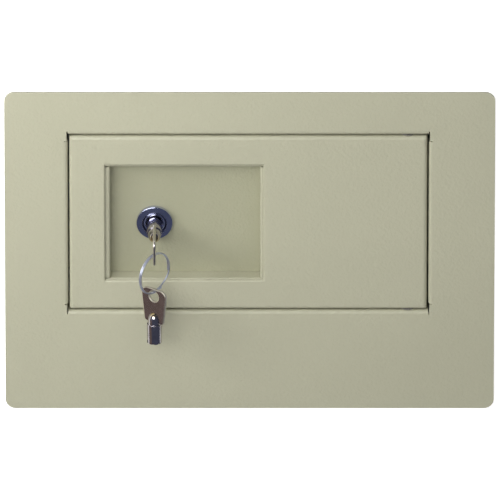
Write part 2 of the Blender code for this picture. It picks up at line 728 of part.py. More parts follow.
def strike_and_stops(steel, rubber):
    """Strike that the cam goes behind, and the stops and buffers that the door closes on."""
    made = {}
    flange_back = OPEN_LEFT - SKIN - SEAT_GAP
    leg = STRIKE_THICKNESS
    tongue_back = CAM_Y - 2 * SEAT_GAP
    bm = bmesh.new()
    low, high = LOCK.z - STRIKE_HEIGHT / 2, LOCK.z + STRIKE_HEIGHT / 2
    start = FACE_Y + FOLD_RADIUS + SKIN
    outline = [(flange_back - leg, start), (flange_back, start), (flange_back, tongue_back - leg),
               (OPEN_LEFT + STRIKE_REACH, tongue_back - leg), (OPEN_LEFT + STRIKE_REACH, tongue_back),
               (flange_back - leg, tongue_back)]
    add_prism(bm, outline, low, high)
    made["strike_angle"] = make_object("strike_angle", bm, steel)

    door_back = FACE_Y + DOOR_DEPTH
    front = door_back + 2 * SEAT_GAP + BUMPER_THICKNESS
    outline = [(flange_back - leg, start), (flange_back, start), (flange_back, front),
               (OPEN_LEFT + STOP_REACH, front), (OPEN_LEFT + STOP_REACH, front + leg),
               (flange_back - leg, front + leg)]
    for side, z in (("top", DOOR_TOP - STOP_INSET), ("bottom", DOOR_BOTTOM + STOP_INSET)):
        bm = bmesh.new()
        add_prism(bm, outline, z - STOP_HEIGHT / 2, z + STOP_HEIGHT / 2)
        name = "door_stop_" + side
        made[name] = make_object(name, bm, steel)
        bm = bmesh.new()
        place = along_y(DOOR_LEFT + BUMPER_DIAMETER / 2, door_back + SEAT_GAP, z)
        add_cylinder(bm, BUMPER_DIAMETER / 2, 0, BUMPER_THICKNESS, place)
        name = "door_bumper_" + side
        made[name] = make_object(name, bm, rubber)
    return made


def door_backing(mat, steel):
    """Inner cover of the door, with the standoffs and screws that hold it."""
    made = {}
    inset = SKIN + SEAT_GAP
    front = FACE_Y + DOOR_DEPTH - BACKING_SUNK - LINER
    bm = bmesh.new()
    add_box(bm, (DOOR_LEFT + inset, front, DOOR_BOTTOM + inset),
            (DOOR_RIGHT - inset, front + LINER, DOOR_TOP - inset))
    backing = make_object("door_backing", bm, mat)
    middle = (DOOR_TOP + DOOR_BOTTOM) / 2
    rise = DOOR_HEIGHT / 2 - SCREW_FROM_EDGE
    columns = (DOOR_LEFT + SCREW_FROM_LEFT, WIN_RIGHT + SCREW_PAST_WINDOW,
               DOOR_RIGHT - SCREW_FROM_RIGHT)
    places = [(x, middle + dz) for x in columns for dz in (-rise, rise)]

    def holes(cutter):
        through = (-LINER, 3 * LINER)
        add_cylinder(cutter, BACKING_HOLE / 2, *through, along_y(LOCK.x, front, LOCK.z), ROUND)
        for x, z in places:
            add_cylinder(cutter, SCREW_DIAMETER / 2 + SEAT_GAP, *through, along_y(x, front, z))

    cut(backing, "backing_hole_cutter", holes)
    made["door_backing"] = backing
    inside = FACE_Y + SKIN + SEAT_GAP
    for number, (x, z) in enumerate(places, 1):
        standoff = bmesh.new()
        screw = bmesh.new()
        depth = front - SEAT_GAP - inside
        bore = SCREW_DIAMETER / 2 + SEAT_GAP
        add_tube(standoff, bore, STANDOFF_DIAMETER / 2, 0, depth, along_y(x, inside, z))
        base = LINER + SEAT_GAP
        radius = SCREW_DIAMETER / 2
        head = SCREW_HEAD / 2
        crown = base + SCREW_HEAD_HEIGHT
        add_turned(screw, [(0, -SCREW_LENGTH), (radius, -SCREW_LENGTH), (radius, base), (head, base),
                           (head, base + SCREW_HEAD_SIDE), (SCREW_HEAD_TOP / 2, crown), (0, crown)],
                   along_y(x, front, z), SMALL_ROUND)
        for name, bm in (("backing_standoff_%d", standoff), ("backing_screw_%d", screw)):
            made[name % number] = make_object(name % number, bm, steel, smooth=True)
    return made


def bow_outline():
    """Return the flat bow's outline: x across, y along from the barrel's end."""
    shoulder = BARREL_LENGTH
    tang = BOW_TANG_WIDTH / 2
    end = BOW_END_WIDTH / 2
    half = BOW_SHOULDER_WIDTH / 2
    right = [(tang, shoulder - BOW_TANG_LENGTH), (tang, shoulder)]
    rounding = BOW_SHOULDER_CORNER
    for k in range(4):
        angle = -math.pi / 2 + k / 3 * math.pi / 2
        right.append((half - rounding + rounding * math.cos(angle),
                      shoulder + rounding + rounding * math.sin(angle)))
    for k in range(6):
        angle = k / 5 * math.pi / 2
        right.append((end - BOW_CORNER + BOW_CORNER * math.cos(angle),
                      KEY_LENGTH - BOW_CORNER + BOW_CORNER * math.sin(angle)))
    return right + [(-x, y) for x, y in reversed(right)]


def key(prefix, matrix, mat):
    """Tubular key: local Y runs from the barrel's end to the bow, local Z through the bow.

    The barrel ends in a slotted neck, which is staked round the foot of the flat bow.
    """
    bm = bmesh.new()
    half = BOW_THICKNESS / 2
    add_prism(bm, bow_outline(), -half, half, matrix)
    bow = make_object(prefix + "_bow", bm, mat)
    turn = Matrix.Rotation(-math.pi / 2, 4, "X")
    hole = Matrix.Translation((0, KEY_LENGTH - BOW_HOLE_FROM_END, 0))
    cut(bow, prefix + "_hole_cutter",
        lambda bm: add_cylinder(bm, BOW_HOLE / 2, -2 * half, 2 * half, matrix @ hole, 24))
    bm = bmesh.new()
    outer = BARREL_DIAMETER / 2
    bore = BARREL_BORE / 2
    end = BARREL_LENGTH - SEAT_GAP
    slot_floor = BARREL_LENGTH - BOW_TANG_LENGTH - SEAT_GAP
    floor = slot_floor - BARREL_FLOOR
    neck = NECK_DIAMETER / 2
    straight = BARREL_LENGTH + NECK_HEIGHT - neck
    profile = [(0, floor), (bore, floor), (bore, 0), (outer - EDGE_CHAMFER, 0),
               (outer, EDGE_CHAMFER), (outer, end - BARREL_SHOULDER), (outer - BARREL_SHOULDER, end),
               (neck, end)]
    for k in range(4):
        angle = k / 4 * math.pi / 2
        profile.append((neck * math.cos(angle), straight + neck * math.sin(angle)))
    profile.append((0, straight + neck))
    add_turned(bm, profile, matrix @ turn, 24)
    barrel = make_object(prefix + "_barrel", bm, mat, smooth=True)
    side = BOW_TANG_WIDTH / 2 + SEAT_GAP
    slot = half + SEAT_GAP
    above = 2 * BARREL_LENGTH
    outline = [(-side, slot_floor), (side, slot_floor), (side, end), (above, end),
               (above, above), (-above, above), (-above, end), (-side, end)]
    cut(barrel, prefix + "_slot_cutter", lambda bm: add_prism(bm, outline, -slot, slot, matrix))
    return {bow.name: bow, barrel.name: barrel}


def lock_key_matrix():
    """Place the key in the keyway, drooping, with its bow upright."""
    axis = Vector((0, -math.cos(KEY_DROOP), -math.sin(KEY_DROOP)))
    mouth = Vector((LOCK.x, MOUTH_Y, LOCK.z - KEY_PLAY))
    across = Vector((1, 0, 0))
    side = axis.cross(across)
    matrix = Matrix((side, axis, across)).transposed().to_4x4()
    matrix.translation = mouth - axis * KEY_INSERTION
    return matrix


def hole_seat(skew):
    """Return how far from a bow hole's centre the ring's wires rest, passing through askew."""
    spread = RING_PITCH / 2 * math.cos(skew)
    spread += BOW_THICKNESS / 2 * math.tan(abs(skew)) + RING_WIRE / 2 / math.cos(skew)
    return math.sqrt((BOW_HOLE / 2) ** 2 - spread ** 2) - RING_WIRE / 2 - SEAT_GAP


def lock_key_hole():
    """Return the middle of the hole in the first key's bow."""
    return lock_key_matrix() @ Vector((0, KEY_LENGTH - BOW_HOLE_FROM_END, 0))


def ring_top():
    """Return the middle of the ring's wires where they hang in the first key's hole."""
    return lock_key_hole() - Vector((0, 0, hole_seat(RING_YAW)))


def ring_bottom():
    """Return the middle of the ring's wires where the spare key hangs."""
    return ring_top() - Vector((0, 0, 2 * RING_RADIUS))


def spare_key_hole():
    """Return the middle of the hole in the spare key's bow."""
    return ring_bottom() - Vector((0, 0, hole_seat(math.pi / 2 - SPARE_TWIST - RING_YAW)))


def spare_key_matrix():
    """Hang the spare key from the ring, barrel down, twisted about the vertical."""
    axis = Vector((0, 0, 1))
    across = Vector((math.cos(SPARE_TWIST), -math.sin(SPARE_TWIST), 0))
    normal = across.cross(axis)
    matrix = Matrix((across, axis, normal)).transposed().to_4x4()
    matrix.translation = spare_key_hole() - axis * (KEY_LENGTH - BOW_HOLE_FROM_END)
    return matrix


def key_ring(mat):
    """Split ring: one wire wound nearly twice, stepping across once."""
    centre = ring_top() - Vector((0, 0, RING_RADIUS))
    normal = Vector((math.sin(RING_YAW), -math.cos(RING_YAW), 0))
    level = Vector((math.cos(RING_YAW), math.sin(RING_YAW), 0))
    ramp = math.radians(50)
    ramp_start = math.radians(-62)
    turn = 2 * math.pi
    steps = 24
    points = []
    sweep = 2 * turn - ramp
    count = round(sweep / turn * steps) + 1
    for k in range(count):
        travel = sweep * k / (count - 1)
        along = travel - (turn - ramp)
        step = min(1, max(0, along / ramp))
        side = RING_PITCH * (step * step * (3 - 2 * step) - 0.5)
        angle = ramp_start + ramp + travel
        points.append(centre + level * (RING_RADIUS * math.cos(angle))
                      + Vector((0, 0, RING_RADIUS * math.sin(angle))) + normal * side)
    least = min((a - b).length for i, a in enumerate(points) for b in points[i + steps // 2:])
    print("key ring: least gap between its turns %.2f mm" % ((least - RING_WIRE) * 1000))
    curve = bpy.data.curves.new("key_ring", "CURVE")
    curve.dimensions = "3D"
    curve.bevel_depth = RING_WIRE / 2
    curve.bevel_resolution = 1
    curve.use_fill_caps = True
    spline = curve.splines.new("POLY")
    spline.points.add(len(points) - 1)
    for point, place in zip(spline.points, points):
        point.co = (*place, 1)
    curve.materials.append(mat)
    obj = bpy.data.objects.new("key_ring", curve)
    bpy.context.scene.collection.objects.link(obj)
    return obj


def interior_mat(mat):
    """Felt mat on the floor of the box."""
    bm = bmesh.new()
    floor = BODY_BOTTOM + WALL + SEAT_GAP
    left = BODY_LEFT + WALL + MAT_MARGIN
    add_box(bm, (left, MAT_MARGIN, floor),
            (-left, BODY_DEPTH - BACK_FLANGE - MAT_MARGIN, floor + MAT_THICKNESS))
    return make_object("interior_mat", bm, mat)


def pivot_empty(name, place, parent=None):
    """Add an empty on a joint's axis."""
    empty = bpy.data.objects.new(name, None)
    bpy.context.scene.collection.objects.link(empty)
    empty.location = place
    if parent:
        empty.parent = parent[0]
        empty.matrix_parent_inverse = Matrix.Translation(parent[1]).inverted()
    return empty, Vector(place)


def ride(objects, pivot):
    """Parent objects to a joint's empty where they stand."""
    for obj in objects:
        obj.parent = pivot[0]
        obj.matrix_parent_inverse = Matrix.Translation(pivot[1]).inverted()


def build():
    """Build the whole safe."""
    for obj in list(bpy.data.objects):
        bpy.data.objects.remove(obj, do_unlink=True)
    paint = material("putty_powder_coat", (0.50, 0.49, 0.37), 0.42, 0.0)
    inner_paint = material("body_paint", (0.46, 0.45, 0.35), 0.5, 0.0)
    steel = material("zinc_steel", (0.60, 0.60, 0.60), 0.35, 1.0)
    chrome = material("chrome_plate", (0.80, 0.80, 0.84), 0.08, 1.0)
    brass = material("brass", (0.80, 0.60, 0.25), 0.3, 1.0)
    rubber = material("black_rubber", (0.02, 0.02, 0.02), 0.8, 0.0)
    nylon = material("nylon_washer", (0.75, 0.74, 0.70), 0.5, 0.0)
    nickel = material("nickel_key", (0.70, 0.68, 0.66), 0.15, 1.0)
    felt = material("charcoal_felt", (0.03, 0.03, 0.035), 0.95, 0.0)

    front_plate(paint)
    body_wrap(inner_paint)
    body_back(inner_paint)
    door = {"door_skin": door_skin(paint)}
    hinge = hinge_pieces(steel, nylon)
    door["hinge_block_top"] = hinge["hinge_block_top"]
    door["hinge_block_bottom"] = hinge["hinge_block_bottom"]
    door["recess_box"] = recess_box(paint)
    door["lock_plate"] = lock_plate(paint)
    door["lock_housing"] = lock_housing(chrome)
    door.update(door_backing(inner_paint, steel))
    inner = lock_inner(steel, brass)
    door["lock_washer"] = inner.pop("lock_washer")
    door["lock_nut"] = inner.pop("lock_nut")
    strike_and_stops(steel, rubber)
    interior_mat(felt)
    first = key("lock_key", lock_key_matrix(), nickel)
    ring = key_ring(nickel)
    spare = key("spare_key", spare_key_matrix(), nickel)

    door_pivot = pivot_empty("door_pivot", PIVOT)
    core_pivot = pivot_empty("core_pivot", (LOCK.x, MOUTH_Y, LOCK.z), door_pivot)
    key_pivot = pivot_empty("key_pivot", lock_key_matrix().translation, core_pivot)
    ring_pivot = pivot_empty("ring_pivot", lock_key_hole(), key_pivot)
    spare_pivot = pivot_empty("spare_pivot", spare_key_hole(), ring_pivot)
    ride(door.values(), door_pivot)
    ride(inner.values(), core_pivot)
    ride(first.values(), key_pivot)
    ride([ring], ring_pivot)
    ride(spare.values(), spare_pivot)


build()
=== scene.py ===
import json
import math
import bmesh
import bpy
from mathutils import Matrix, Vector, noise


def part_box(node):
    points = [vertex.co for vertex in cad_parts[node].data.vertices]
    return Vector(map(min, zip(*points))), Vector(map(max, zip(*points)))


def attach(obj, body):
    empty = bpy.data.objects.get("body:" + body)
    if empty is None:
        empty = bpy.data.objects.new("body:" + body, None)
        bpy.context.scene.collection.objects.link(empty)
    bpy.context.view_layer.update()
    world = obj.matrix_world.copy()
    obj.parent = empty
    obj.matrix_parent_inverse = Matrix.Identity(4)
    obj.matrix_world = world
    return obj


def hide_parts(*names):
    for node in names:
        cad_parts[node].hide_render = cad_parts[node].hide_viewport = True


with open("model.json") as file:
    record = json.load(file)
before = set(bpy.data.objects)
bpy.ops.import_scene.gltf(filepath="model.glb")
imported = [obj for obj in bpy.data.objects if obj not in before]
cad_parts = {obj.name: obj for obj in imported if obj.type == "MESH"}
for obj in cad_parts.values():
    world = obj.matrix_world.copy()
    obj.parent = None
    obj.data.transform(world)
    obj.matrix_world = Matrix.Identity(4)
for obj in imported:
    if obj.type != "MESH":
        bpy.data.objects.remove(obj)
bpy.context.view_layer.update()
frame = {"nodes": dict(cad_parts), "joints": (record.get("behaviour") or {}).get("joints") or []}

# The camera looks down on the safe at the photograph's angle, from so far off that the trim
# plate's edges hardly converge. Its picture is a little wider than the plate, which stands
# about a pixel below its middle.
CAMERA_RISE = math.radians(28)
CAMERA_DISTANCE = 14.0
CAMERA_REACH = (1.0, 60.0)
PICTURE_WIDTH = 0.3112
PICTURE_SHIFT = (0.00016, 0.00074)
SENSOR = 36.0

plate_low, plate_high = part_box("front_plate")
plate_middle = (plate_low + plate_high) / 2
plate_middle.y = plate_low.y
toward_camera = Vector((0, -math.cos(CAMERA_RISE), math.sin(CAMERA_RISE)))
picture_up = Vector((0, math.sin(CAMERA_RISE), math.cos(CAMERA_RISE)))
camera_data = bpy.data.cameras.new("camera")
camera_data.sensor_width = SENSOR
camera_data.lens = SENSOR * CAMERA_DISTANCE / PICTURE_WIDTH
camera_data.clip_start, camera_data.clip_end = CAMERA_REACH
camera = bpy.data.objects.new("camera", camera_data)
looked_at = plate_middle + Vector((PICTURE_SHIFT[0], 0, 0)) + picture_up * PICTURE_SHIFT[1]
camera.location = looked_at + toward_camera * CAMERA_DISTANCE
camera.rotation_euler = (math.pi / 2 - CAMERA_RISE, 0, 0)
bpy.context.scene.collection.objects.link(camera)
bpy.context.scene.camera = camera
bpy.context.scene.view_settings.view_transform = "Standard"

# A pale studio floor lies well below the safe, which is set in a plain white wall with a
# cut-out for its body. The wall shows from in front only. A dark room in front, with a slate
# left side, a navy middle and a brown floor, is seen in polished metal and gloss alone.
FLOOR_DROP = 0.40
FLOOR_HALF = 30.0
STAGE_COLOUR = (0.84, 0.84, 0.83)
STAGE_ROUGHNESS = 0.9
STAGE_GLOW = 0.70
WHITE = (1, 1, 1)
WORLD_FILL = 0.24
STAGE_WALL_HALF = 6.0
STAGE_WALL_BEHIND = 0.00015
ROOM_RADIUS = 4.0
ROOM_SIDES = 48
ROOM_ABOVE_FLOOR = 0.01
ROOM_OPEN_BEHIND = 0.3
ROOM_NAVY = (0.075, 0.082, 0.116)
ROOM_SLATE = (0.170, 0.172, 0.200)
ROOM_BROWN = (0.178, 0.134, 0.114)
ROOM_TURN = (-0.62, -0.80)
NOISE_SPAN = (0.3, 0.7)


def feed(tree, node, inputs):
    """Link a node's inputs to sockets or set them to values, by their labels."""
    for label, value in inputs.items():
        socket = node.inputs[label]
        if isinstance(value, bpy.types.NodeSocket):
            tree.links.new(value, socket)
        else:
            socket.default_value = (*value, 1) if socket.type == "RGBA" else value


def wired(tree, kind, inputs, output=0, **settings):
    """Add a shader node with its settings and inputs, and return one of its outputs."""
    node = tree.nodes.new("ShaderNode" + kind)
    for label, value in settings.items():
        setattr(node, label, value)
    feed(tree, node, inputs)
    return node.outputs[output]


def spread(tree, value, low, high, span=NOISE_SPAN, **settings):
    """Spread a value's span between two numbers or sockets."""
    return wired(tree, "MapRange", {"Value": value, "From Min": span[0], "From Max": span[1],
                                    "To Min": low, "To Max": high}, "Result", **settings)


def blend_colours(tree, factor, first, second):
    """Mix two colours."""
    return wired(tree, "Mix", {"Factor": factor, "A": first, "B": second}, "Result", data_type="RGBA")


def seen_directly(tree):
    """Return a socket that is 1 for camera, glossy and transmission rays."""
    rays = tree.nodes.new("ShaderNodeLightPath").outputs
    total = rays["Is Camera Ray"]
    for label in ("Is Glossy Ray", "Is Transmission Ray"):
        total = wired(tree, "Math", {0: total, 1: rays[label]}, use_clamp=True)
    return total


def new_material(name):
    """Make a material, and return it with its nodes and its shader."""
    material = bpy.data.materials.new(name)
    material.use_nodes = True
    return material, material.node_tree, material.node_tree.nodes["Principled BSDF"]


def stage_paint(name, one_sided=False):
    """Make a lit white paint that glows for the camera and in reflections."""
    material, tree, shader = new_material(name)
    feed(tree, shader, {"Base Color": STAGE_COLOUR, "Roughness": STAGE_ROUGHNESS,
                        "Specular IOR Level": 0.0, "Emission Color": WHITE,
                        "Emission Strength": spread(tree, seen_directly(tree), 0.0, STAGE_GLOW, (0, 1))})
    if one_sided:
        behind = tree.nodes.new("ShaderNodeNewGeometry").outputs["Backfacing"]
        clear = wired(tree, "BsdfTransparent", {})
        both = wired(tree, "MixShader", {"Fac": behind, 1: shader.outputs["BSDF"], 2: clear})
        feed(tree, tree.nodes["Material Output"], {"Surface": both})
    return material


def room_paint(name, left_colour):
    """Make the dark room's glow: navy in front and on the right, another colour on the left."""
    material, tree, shader = new_material(name)
    tree.nodes.remove(shader)
    place = tree.nodes.new("ShaderNodeTexCoord").outputs["Object"]
    level = wired(tree, "VectorMath", {0: place, 1: (1, 1, 0)}, operation="MULTIPLY")
    aim = wired(tree, "VectorMath", {0: level}, operation="NORMALIZE")
    across = wired(tree, "SeparateXYZ", {"Vector": aim}, "X")
    side = spread(tree, across, 0.0, 1.0, ROOM_TURN, interpolation_type="SMOOTHSTEP")
    glow = wired(tree, "Emission", {"Color": blend_colours(tree, side, ROOM_NAVY, left_colour)})
    feed(tree, tree.nodes["Material Output"], {"Surface": glow})
    return material


def stage_mesh(name, verts, faces, *materials):
    """Make a stage object, which isn't part of the safe."""
    mesh = bpy.data.meshes.new(name)
    mesh.from_pydata(verts, [], faces)
    for material in materials:
        mesh.materials.append(material)
    obj = bpy.data.objects.new(name, mesh)
    bpy.context.scene.collection.objects.link(obj)
    return obj


def hide_from(obj, *kinds):
    """Hide a stage object from some kinds of rays."""
    for kind in kinds:
        setattr(obj, "visible_" + kind, False)


def rectangle(left, right, bottom, top):
    """Return the four corners of a rectangle, anticlockwise."""
    return [(left, bottom), (right, bottom), (right, top), (left, top)]


def front_box(node):
    """Return a node's left, right, bottom and top."""
    low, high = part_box(node)
    return low.x, high.x, low.z, high.z


world = bpy.data.worlds.new("studio")
bpy.context.scene.world = world
world.use_nodes = True
world_light = spread(world.node_tree, seen_directly(world.node_tree), WORLD_FILL, 1.0, (0, 1))
feed(world.node_tree, world.node_tree.nodes["Background"], {"Color": WHITE, "Strength": world_light})

floor_z = plate_low.z - FLOOR_DROP
floor_edges = rectangle(-FLOOR_HALF, FLOOR_HALF, -FLOOR_HALF, FLOOR_HALF)
stage_mesh("studio_floor", [(x, y, floor_z) for x, y in floor_edges], [(0, 1, 2, 3)],
           stage_paint("studio_floor"))

wall_edges = rectangle(-STAGE_WALL_HALF, STAGE_WALL_HALF, floor_z, floor_z + STAGE_WALL_HALF)
wall_edges += rectangle(*front_box("body_wrap"))
stage_wall = stage_mesh("studio_wall", [(x, STAGE_WALL_BEHIND, z) for x, z in wall_edges],
                        [(k, (k + 1) % 4, (k + 1) % 4 + 4, k + 4) for k in range(4)],
                        stage_paint("studio_wall", True))
hide_from(stage_wall, "shadow", "diffuse")

room_bm = bmesh.new()
bmesh.ops.create_uvsphere(room_bm, u_segments=ROOM_SIDES, v_segments=ROOM_SIDES, radius=ROOM_RADIUS)
bmesh.ops.delete(room_bm, geom=[v for v in room_bm.verts if v.co.y > ROOM_OPEN_BEHIND], context="VERTS")
room_floor = floor_z + ROOM_ABOVE_FLOOR - plate_middle.z
for vert in room_bm.verts:
    vert.co.z = max(vert.co.z, room_floor)
for face in room_bm.faces:
    face.material_index = int(all(v.co.z <= room_floor for v in face.verts))
room = stage_mesh("dark_room", [], [], room_paint("dark_room_walls", ROOM_SLATE),
                  room_paint("dark_room_floor", ROOM_BROWN))
room_bm.to_mesh(room.data)
room_bm.free()
room.location = (0, 0, plate_middle.z)
hide_from(room, "camera", "diffuse", "shadow", "transmission")

# Four soft lamps hang round the safe, each turned to the plate's middle. Only the main one
# shows in polished metal.
for name, offset, size, power, in_metal in (
        ("key_lamp", (-0.32, -0.68, 0.36), (0.62, 0.42), 4.4, True),
        ("left_lamp", (-0.62, -0.28, 0.31), (0.22, 0.22), 1.8, False),
        ("top_lamp", (-0.05, -0.60, 0.90), (1.00, 0.60), 2.1, False),
        ("fill_lamp", (0.90, -1.20, 0.50), (0.80, 0.80), 1.5, False)):
    lamp = bpy.data.lights.new(name, "AREA")
    lamp.shape = "RECTANGLE"
    lamp.size, lamp.size_y = size
    lamp.energy = power
    light = bpy.data.objects.new(name, lamp)
    light.location = plate_middle + Vector(offset)
    light.rotation_euler = Vector(offset).to_track_quat("Z", "Y").to_euler()
    light.visible_glossy = in_metal
    bpy.context.scene.collection.objects.link(light)

# The trim plate is one blanked steel sheet with rounded corners, powder-coated in a putty
# olive. Flanges are folded into the wall all round its opening. The side flanges stop short
# of the corners, where slits let the sheet fold.
SKIN = 0.0019
FOLD_RADIUS = 0.0024
FOLD_STEPS = 9
PLATE_CORNER = 0.0064
PLATE_CORNER_STEPS = 12
GAP_LEFT = 0.0008
GAP_RIGHT = 0.0009
GAP_TOP = 0.0013
GAP_BOTTOM = 0.0013
CORNER_RELIEF = 0.0050
RELIEF_SLIT = 0.0006
RELIEF_EDGE = 0.0007
SHEET_ROUNDING = 0.00022
FLAT_WEIGHT = 80
PIN_HOLE = 0.0044
PIN_HOLE_SIDES = 32
PEEL_BUMP = 0.00034
PUTTY = (0.485, 0.476, 0.352)
PUTTY_SHADE = (0.462, 0.453, 0.334)


def surface_group(name, colours, numbers, outputs=("Roughness", "Height")):
    """Start a shader group with colour and number inputs, which puts out a colour and numbers."""
    group = bpy.data.node_groups.new(name, "ShaderNodeTree")
    for side, kind, labels in (("INPUT", "Color", colours), ("INPUT", "Float", numbers),
                               ("OUTPUT", "Color", ["Colour"]), ("OUTPUT", "Float", outputs)):
        for label in labels:
            group.interface.new_socket(label, in_out=side, socket_type="NodeSocket" + kind)
    return group, group.nodes.new("NodeGroupInput").outputs, group.nodes.new("NodeGroupOutput")


def object_place(group, stretch=(1, 1, 1)):
    """Return the place on the piece, stretched along its axes."""
    place = group.nodes.new("ShaderNodeTexCoord").outputs["Object"]
    return wired(group, "VectorMath", {0: place, 1: stretch}, operation="MULTIPLY")


def grain(group, place, scale, detail=2.0, roughness=0.5):
    """Return a noise with so many features a metre, from a number or a socket."""
    return wired(group, "TexNoise", {"Vector": place, "Scale": scale, "Detail": detail,
                                     "Roughness": roughness}, "Fac")


def sum_of(group, first, second, operation="ADD"):
    """Add two values, or join them by another sum."""
    return wired(group, "Math", {0: first, 1: second}, operation=operation)


def powder_coat_group():
    """Sprayed and baked powder: orange peel, fine specks and a slow drift of colour."""
    group, given, out = surface_group("powder_coat", ["Colour", "Shade"],
                                      ["Peel Scale", "Roughness Low", "Roughness High"])
    place = object_place(group)
    drift = spread(group, grain(group, place, scale=14.0), 0.0, 0.7)
    speck = spread(group, grain(group, place, scale=2600.0, detail=1.0), 0.0, 0.3, span=(0.4, 0.8))
    peel = grain(group, place, given["Peel Scale"], detail=1.5)
    fine = sum_of(group, grain(group, place, scale=1900.0, detail=1.0), 0.22, "MULTIPLY")
    feed(group, out, {
        "Colour": blend_colours(group, sum_of(group, drift, speck), given["Colour"], given["Shade"]),
        "Roughness": spread(group, grain(group, place, scale=120.0), given["Roughness Low"],
                            given["Roughness High"]),
        "Height": sum_of(group, peel, fine)})
    return group


def finish(name, group, bump, metallic=0.0, sockets=None, **settings):
    """Make a material of a surface group, with its even values on the shader's own sockets."""
    material, tree, shader = new_material(name)
    surface = tree.nodes.new("ShaderNodeGroup")
    surface.node_tree = group
    feed(tree, surface, {label.replace("_", " ").title(): value for label, value in settings.items()})
    normal = wired(tree, "Bump", {"Height": surface.outputs["Height"], "Distance": bump})
    feed(tree, shader, {"Metallic": metallic, "Base Color": surface.outputs["Colour"],
                        "Roughness": surface.outputs["Roughness"], "Normal": normal})
    feed(tree, shader, sockets or {})
    return material


def piece_of(name, bm, crease=None):
    """Turn a bmesh into a smooth-shaded piece, with edges over an angle left sharp."""
    mesh = bpy.data.meshes.new(name)
    bm.to_mesh(mesh)
    bm.free()
    mesh.shade_smooth()
    if crease:
        mesh.set_sharp_from_angle(angle=math.radians(crease))
    piece = bpy.data.objects.new(name, mesh)
    bpy.context.scene.collection.objects.link(piece)
    return piece


def settle(piece):
    """Keep what a piece's modifiers make as its own mesh."""
    graph = bpy.context.evaluated_depsgraph_get()
    made = bpy.data.meshes.new_from_object(piece.evaluated_get(graph))
    piece.modifiers.clear()
    old = piece.data
    piece.data = made
    bpy.data.meshes.remove(old)


def carve(piece, cutter_bm, operation="DIFFERENCE", crease=None):
    """Cut a piece with a closed shape, which is thrown away."""
    bmesh.ops.recalc_face_normals(cutter_bm, faces=cutter_bm.faces)
    cutter = piece_of("cutter", cutter_bm)
    modifier = piece.modifiers.new("cut", "BOOLEAN")
    modifier.operation = operation
    modifier.object = cutter
    settle(piece)
    mesh = cutter.data
    bpy.data.objects.remove(cutter)
    bpy.data.meshes.remove(mesh)
    if crease:
        piece.data.set_sharp_from_angle(angle=math.radians(crease))


def ease_edges(piece, width, steps=2, angle=40, marked=False):
    """Round a piece's sharp or marked edges and keep its flat faces flat."""
    bevel = piece.modifiers.new("eased edges", "BEVEL")
    bevel.width = width
    bevel.segments = steps
    bevel.limit_method = "WEIGHT" if marked else "ANGLE"
    bevel.angle_limit = math.radians(angle)
    bevel.use_clamp_overlap = False
    normals = piece.modifiers.new("flat faces", "WEIGHTED_NORMAL")
    normals.weight = FLAT_WEIGHT
    normals.keep_sharp = True


def sheet_piece(name, bm, thickness, outward):
    """Give a folded surface its thickness, on the side away from a direction."""
    bmesh.ops.recalc_face_normals(bm, faces=bm.faces)
    furthest = max(bm.faces, key=lambda f: f.calc_center_median().dot(Vector(outward)))
    if furthest.normal.dot(Vector(outward)) < 0:
        bmesh.ops.reverse_faces(bm, faces=bm.faces)
    piece = piece_of(name, bm)
    piece.data.materials.append(None)
    piece.data.materials.append(None)
    solid = piece.modifiers.new("sheet", "SOLIDIFY")
    solid.thickness = thickness
    solid.offset = -1
    solid.use_even_offset = True
    solid.material_offset_rim = 1
    settle(piece)
    sheet_bm = bmesh.new()
    sheet_bm.from_mesh(piece.data)
    marks = sheet_bm.edges.layers.float.new("bevel_weight_edge")
    for edge in sheet_bm.edges:
        edge[marks] = float(len({face.material_index for face in edge.link_faces}) > 1)
    for face in sheet_bm.faces:
        face.material_index = 0
    sheet_bm.to_mesh(piece.data)
    sheet_bm.free()
    return piece


def place_piece(piece, material, body, slot, *nodes):
    """Give a piece its finish and its place in the assembly."""
    piece.data.materials.clear()
    piece.data.materials.append(material)
    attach(piece, body)
    if nodes:
        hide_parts(*nodes)


def joint_place(name):
    """Return a place on a joint's axis."""
    return next(Vector(joint["pos_m"]) for joint in frame["joints"] if joint["name"] == name)


def quarter(steps):
    """Return the angles of a quarter turn."""
    return [k / steps * math.pi / 2 for k in range(steps + 1)]


def circle(radius, sides, start=0.0):
    """Return the outline of a circle."""
    angles = [start + 2 * math.pi * k / sides for k in range(sides)]
    return [(radius * math.cos(angle), radius * math.sin(angle)) for angle in angles]


def round_outline(box, radius, steps):
    """Return the outline of a rectangle with round corners, anticlockwise."""
    left, right, bottom, top = box
    corners = ((right - radius, top - radius), (left + radius, top - radius),
               (left + radius, bottom + radius), (right - radius, bottom + radius))
    points = []
    for turns, (x, z) in enumerate(corners):
        for k in range(steps + 1):
            angle = (turns + k / steps) * math.pi / 2
            points.append((x + radius * math.cos(angle), z + radius * math.sin(angle)))
    return points


def fold_stations(radius, depth, steps=FOLD_STEPS):
    """Return (out, back) along a fold: a quarter round, then straight to its depth."""
    return [(radius * math.sin(a), radius * (1 - math.cos(a))) for a in quarter(steps)] + [(radius, depth)]


def add_band(bm, lines, closed=False):
    """Join lines of places into a surface, and return its rows of verts."""
    rows = [[bm.verts.new(place) for place in line] for line in lines]
    for a, b in zip(rows, rows[1:]):
        for k in range(len(a) if closed else len(a) - 1):
            j = (k + 1) % len(a)
            bm.faces.new((a[k], a[j], b[j], b[k]))
    return rows


def add_bar(bm, lines):
    """Add a solid from its outlines, one after the other, and return the bmesh."""
    rows = add_band(bm, lines, closed=True)
    bm.faces.new(rows[0])
    bm.faces.new(rows[-1])
    bmesh.ops.recalc_face_normals(bm, faces=bm.faces)
    return bm


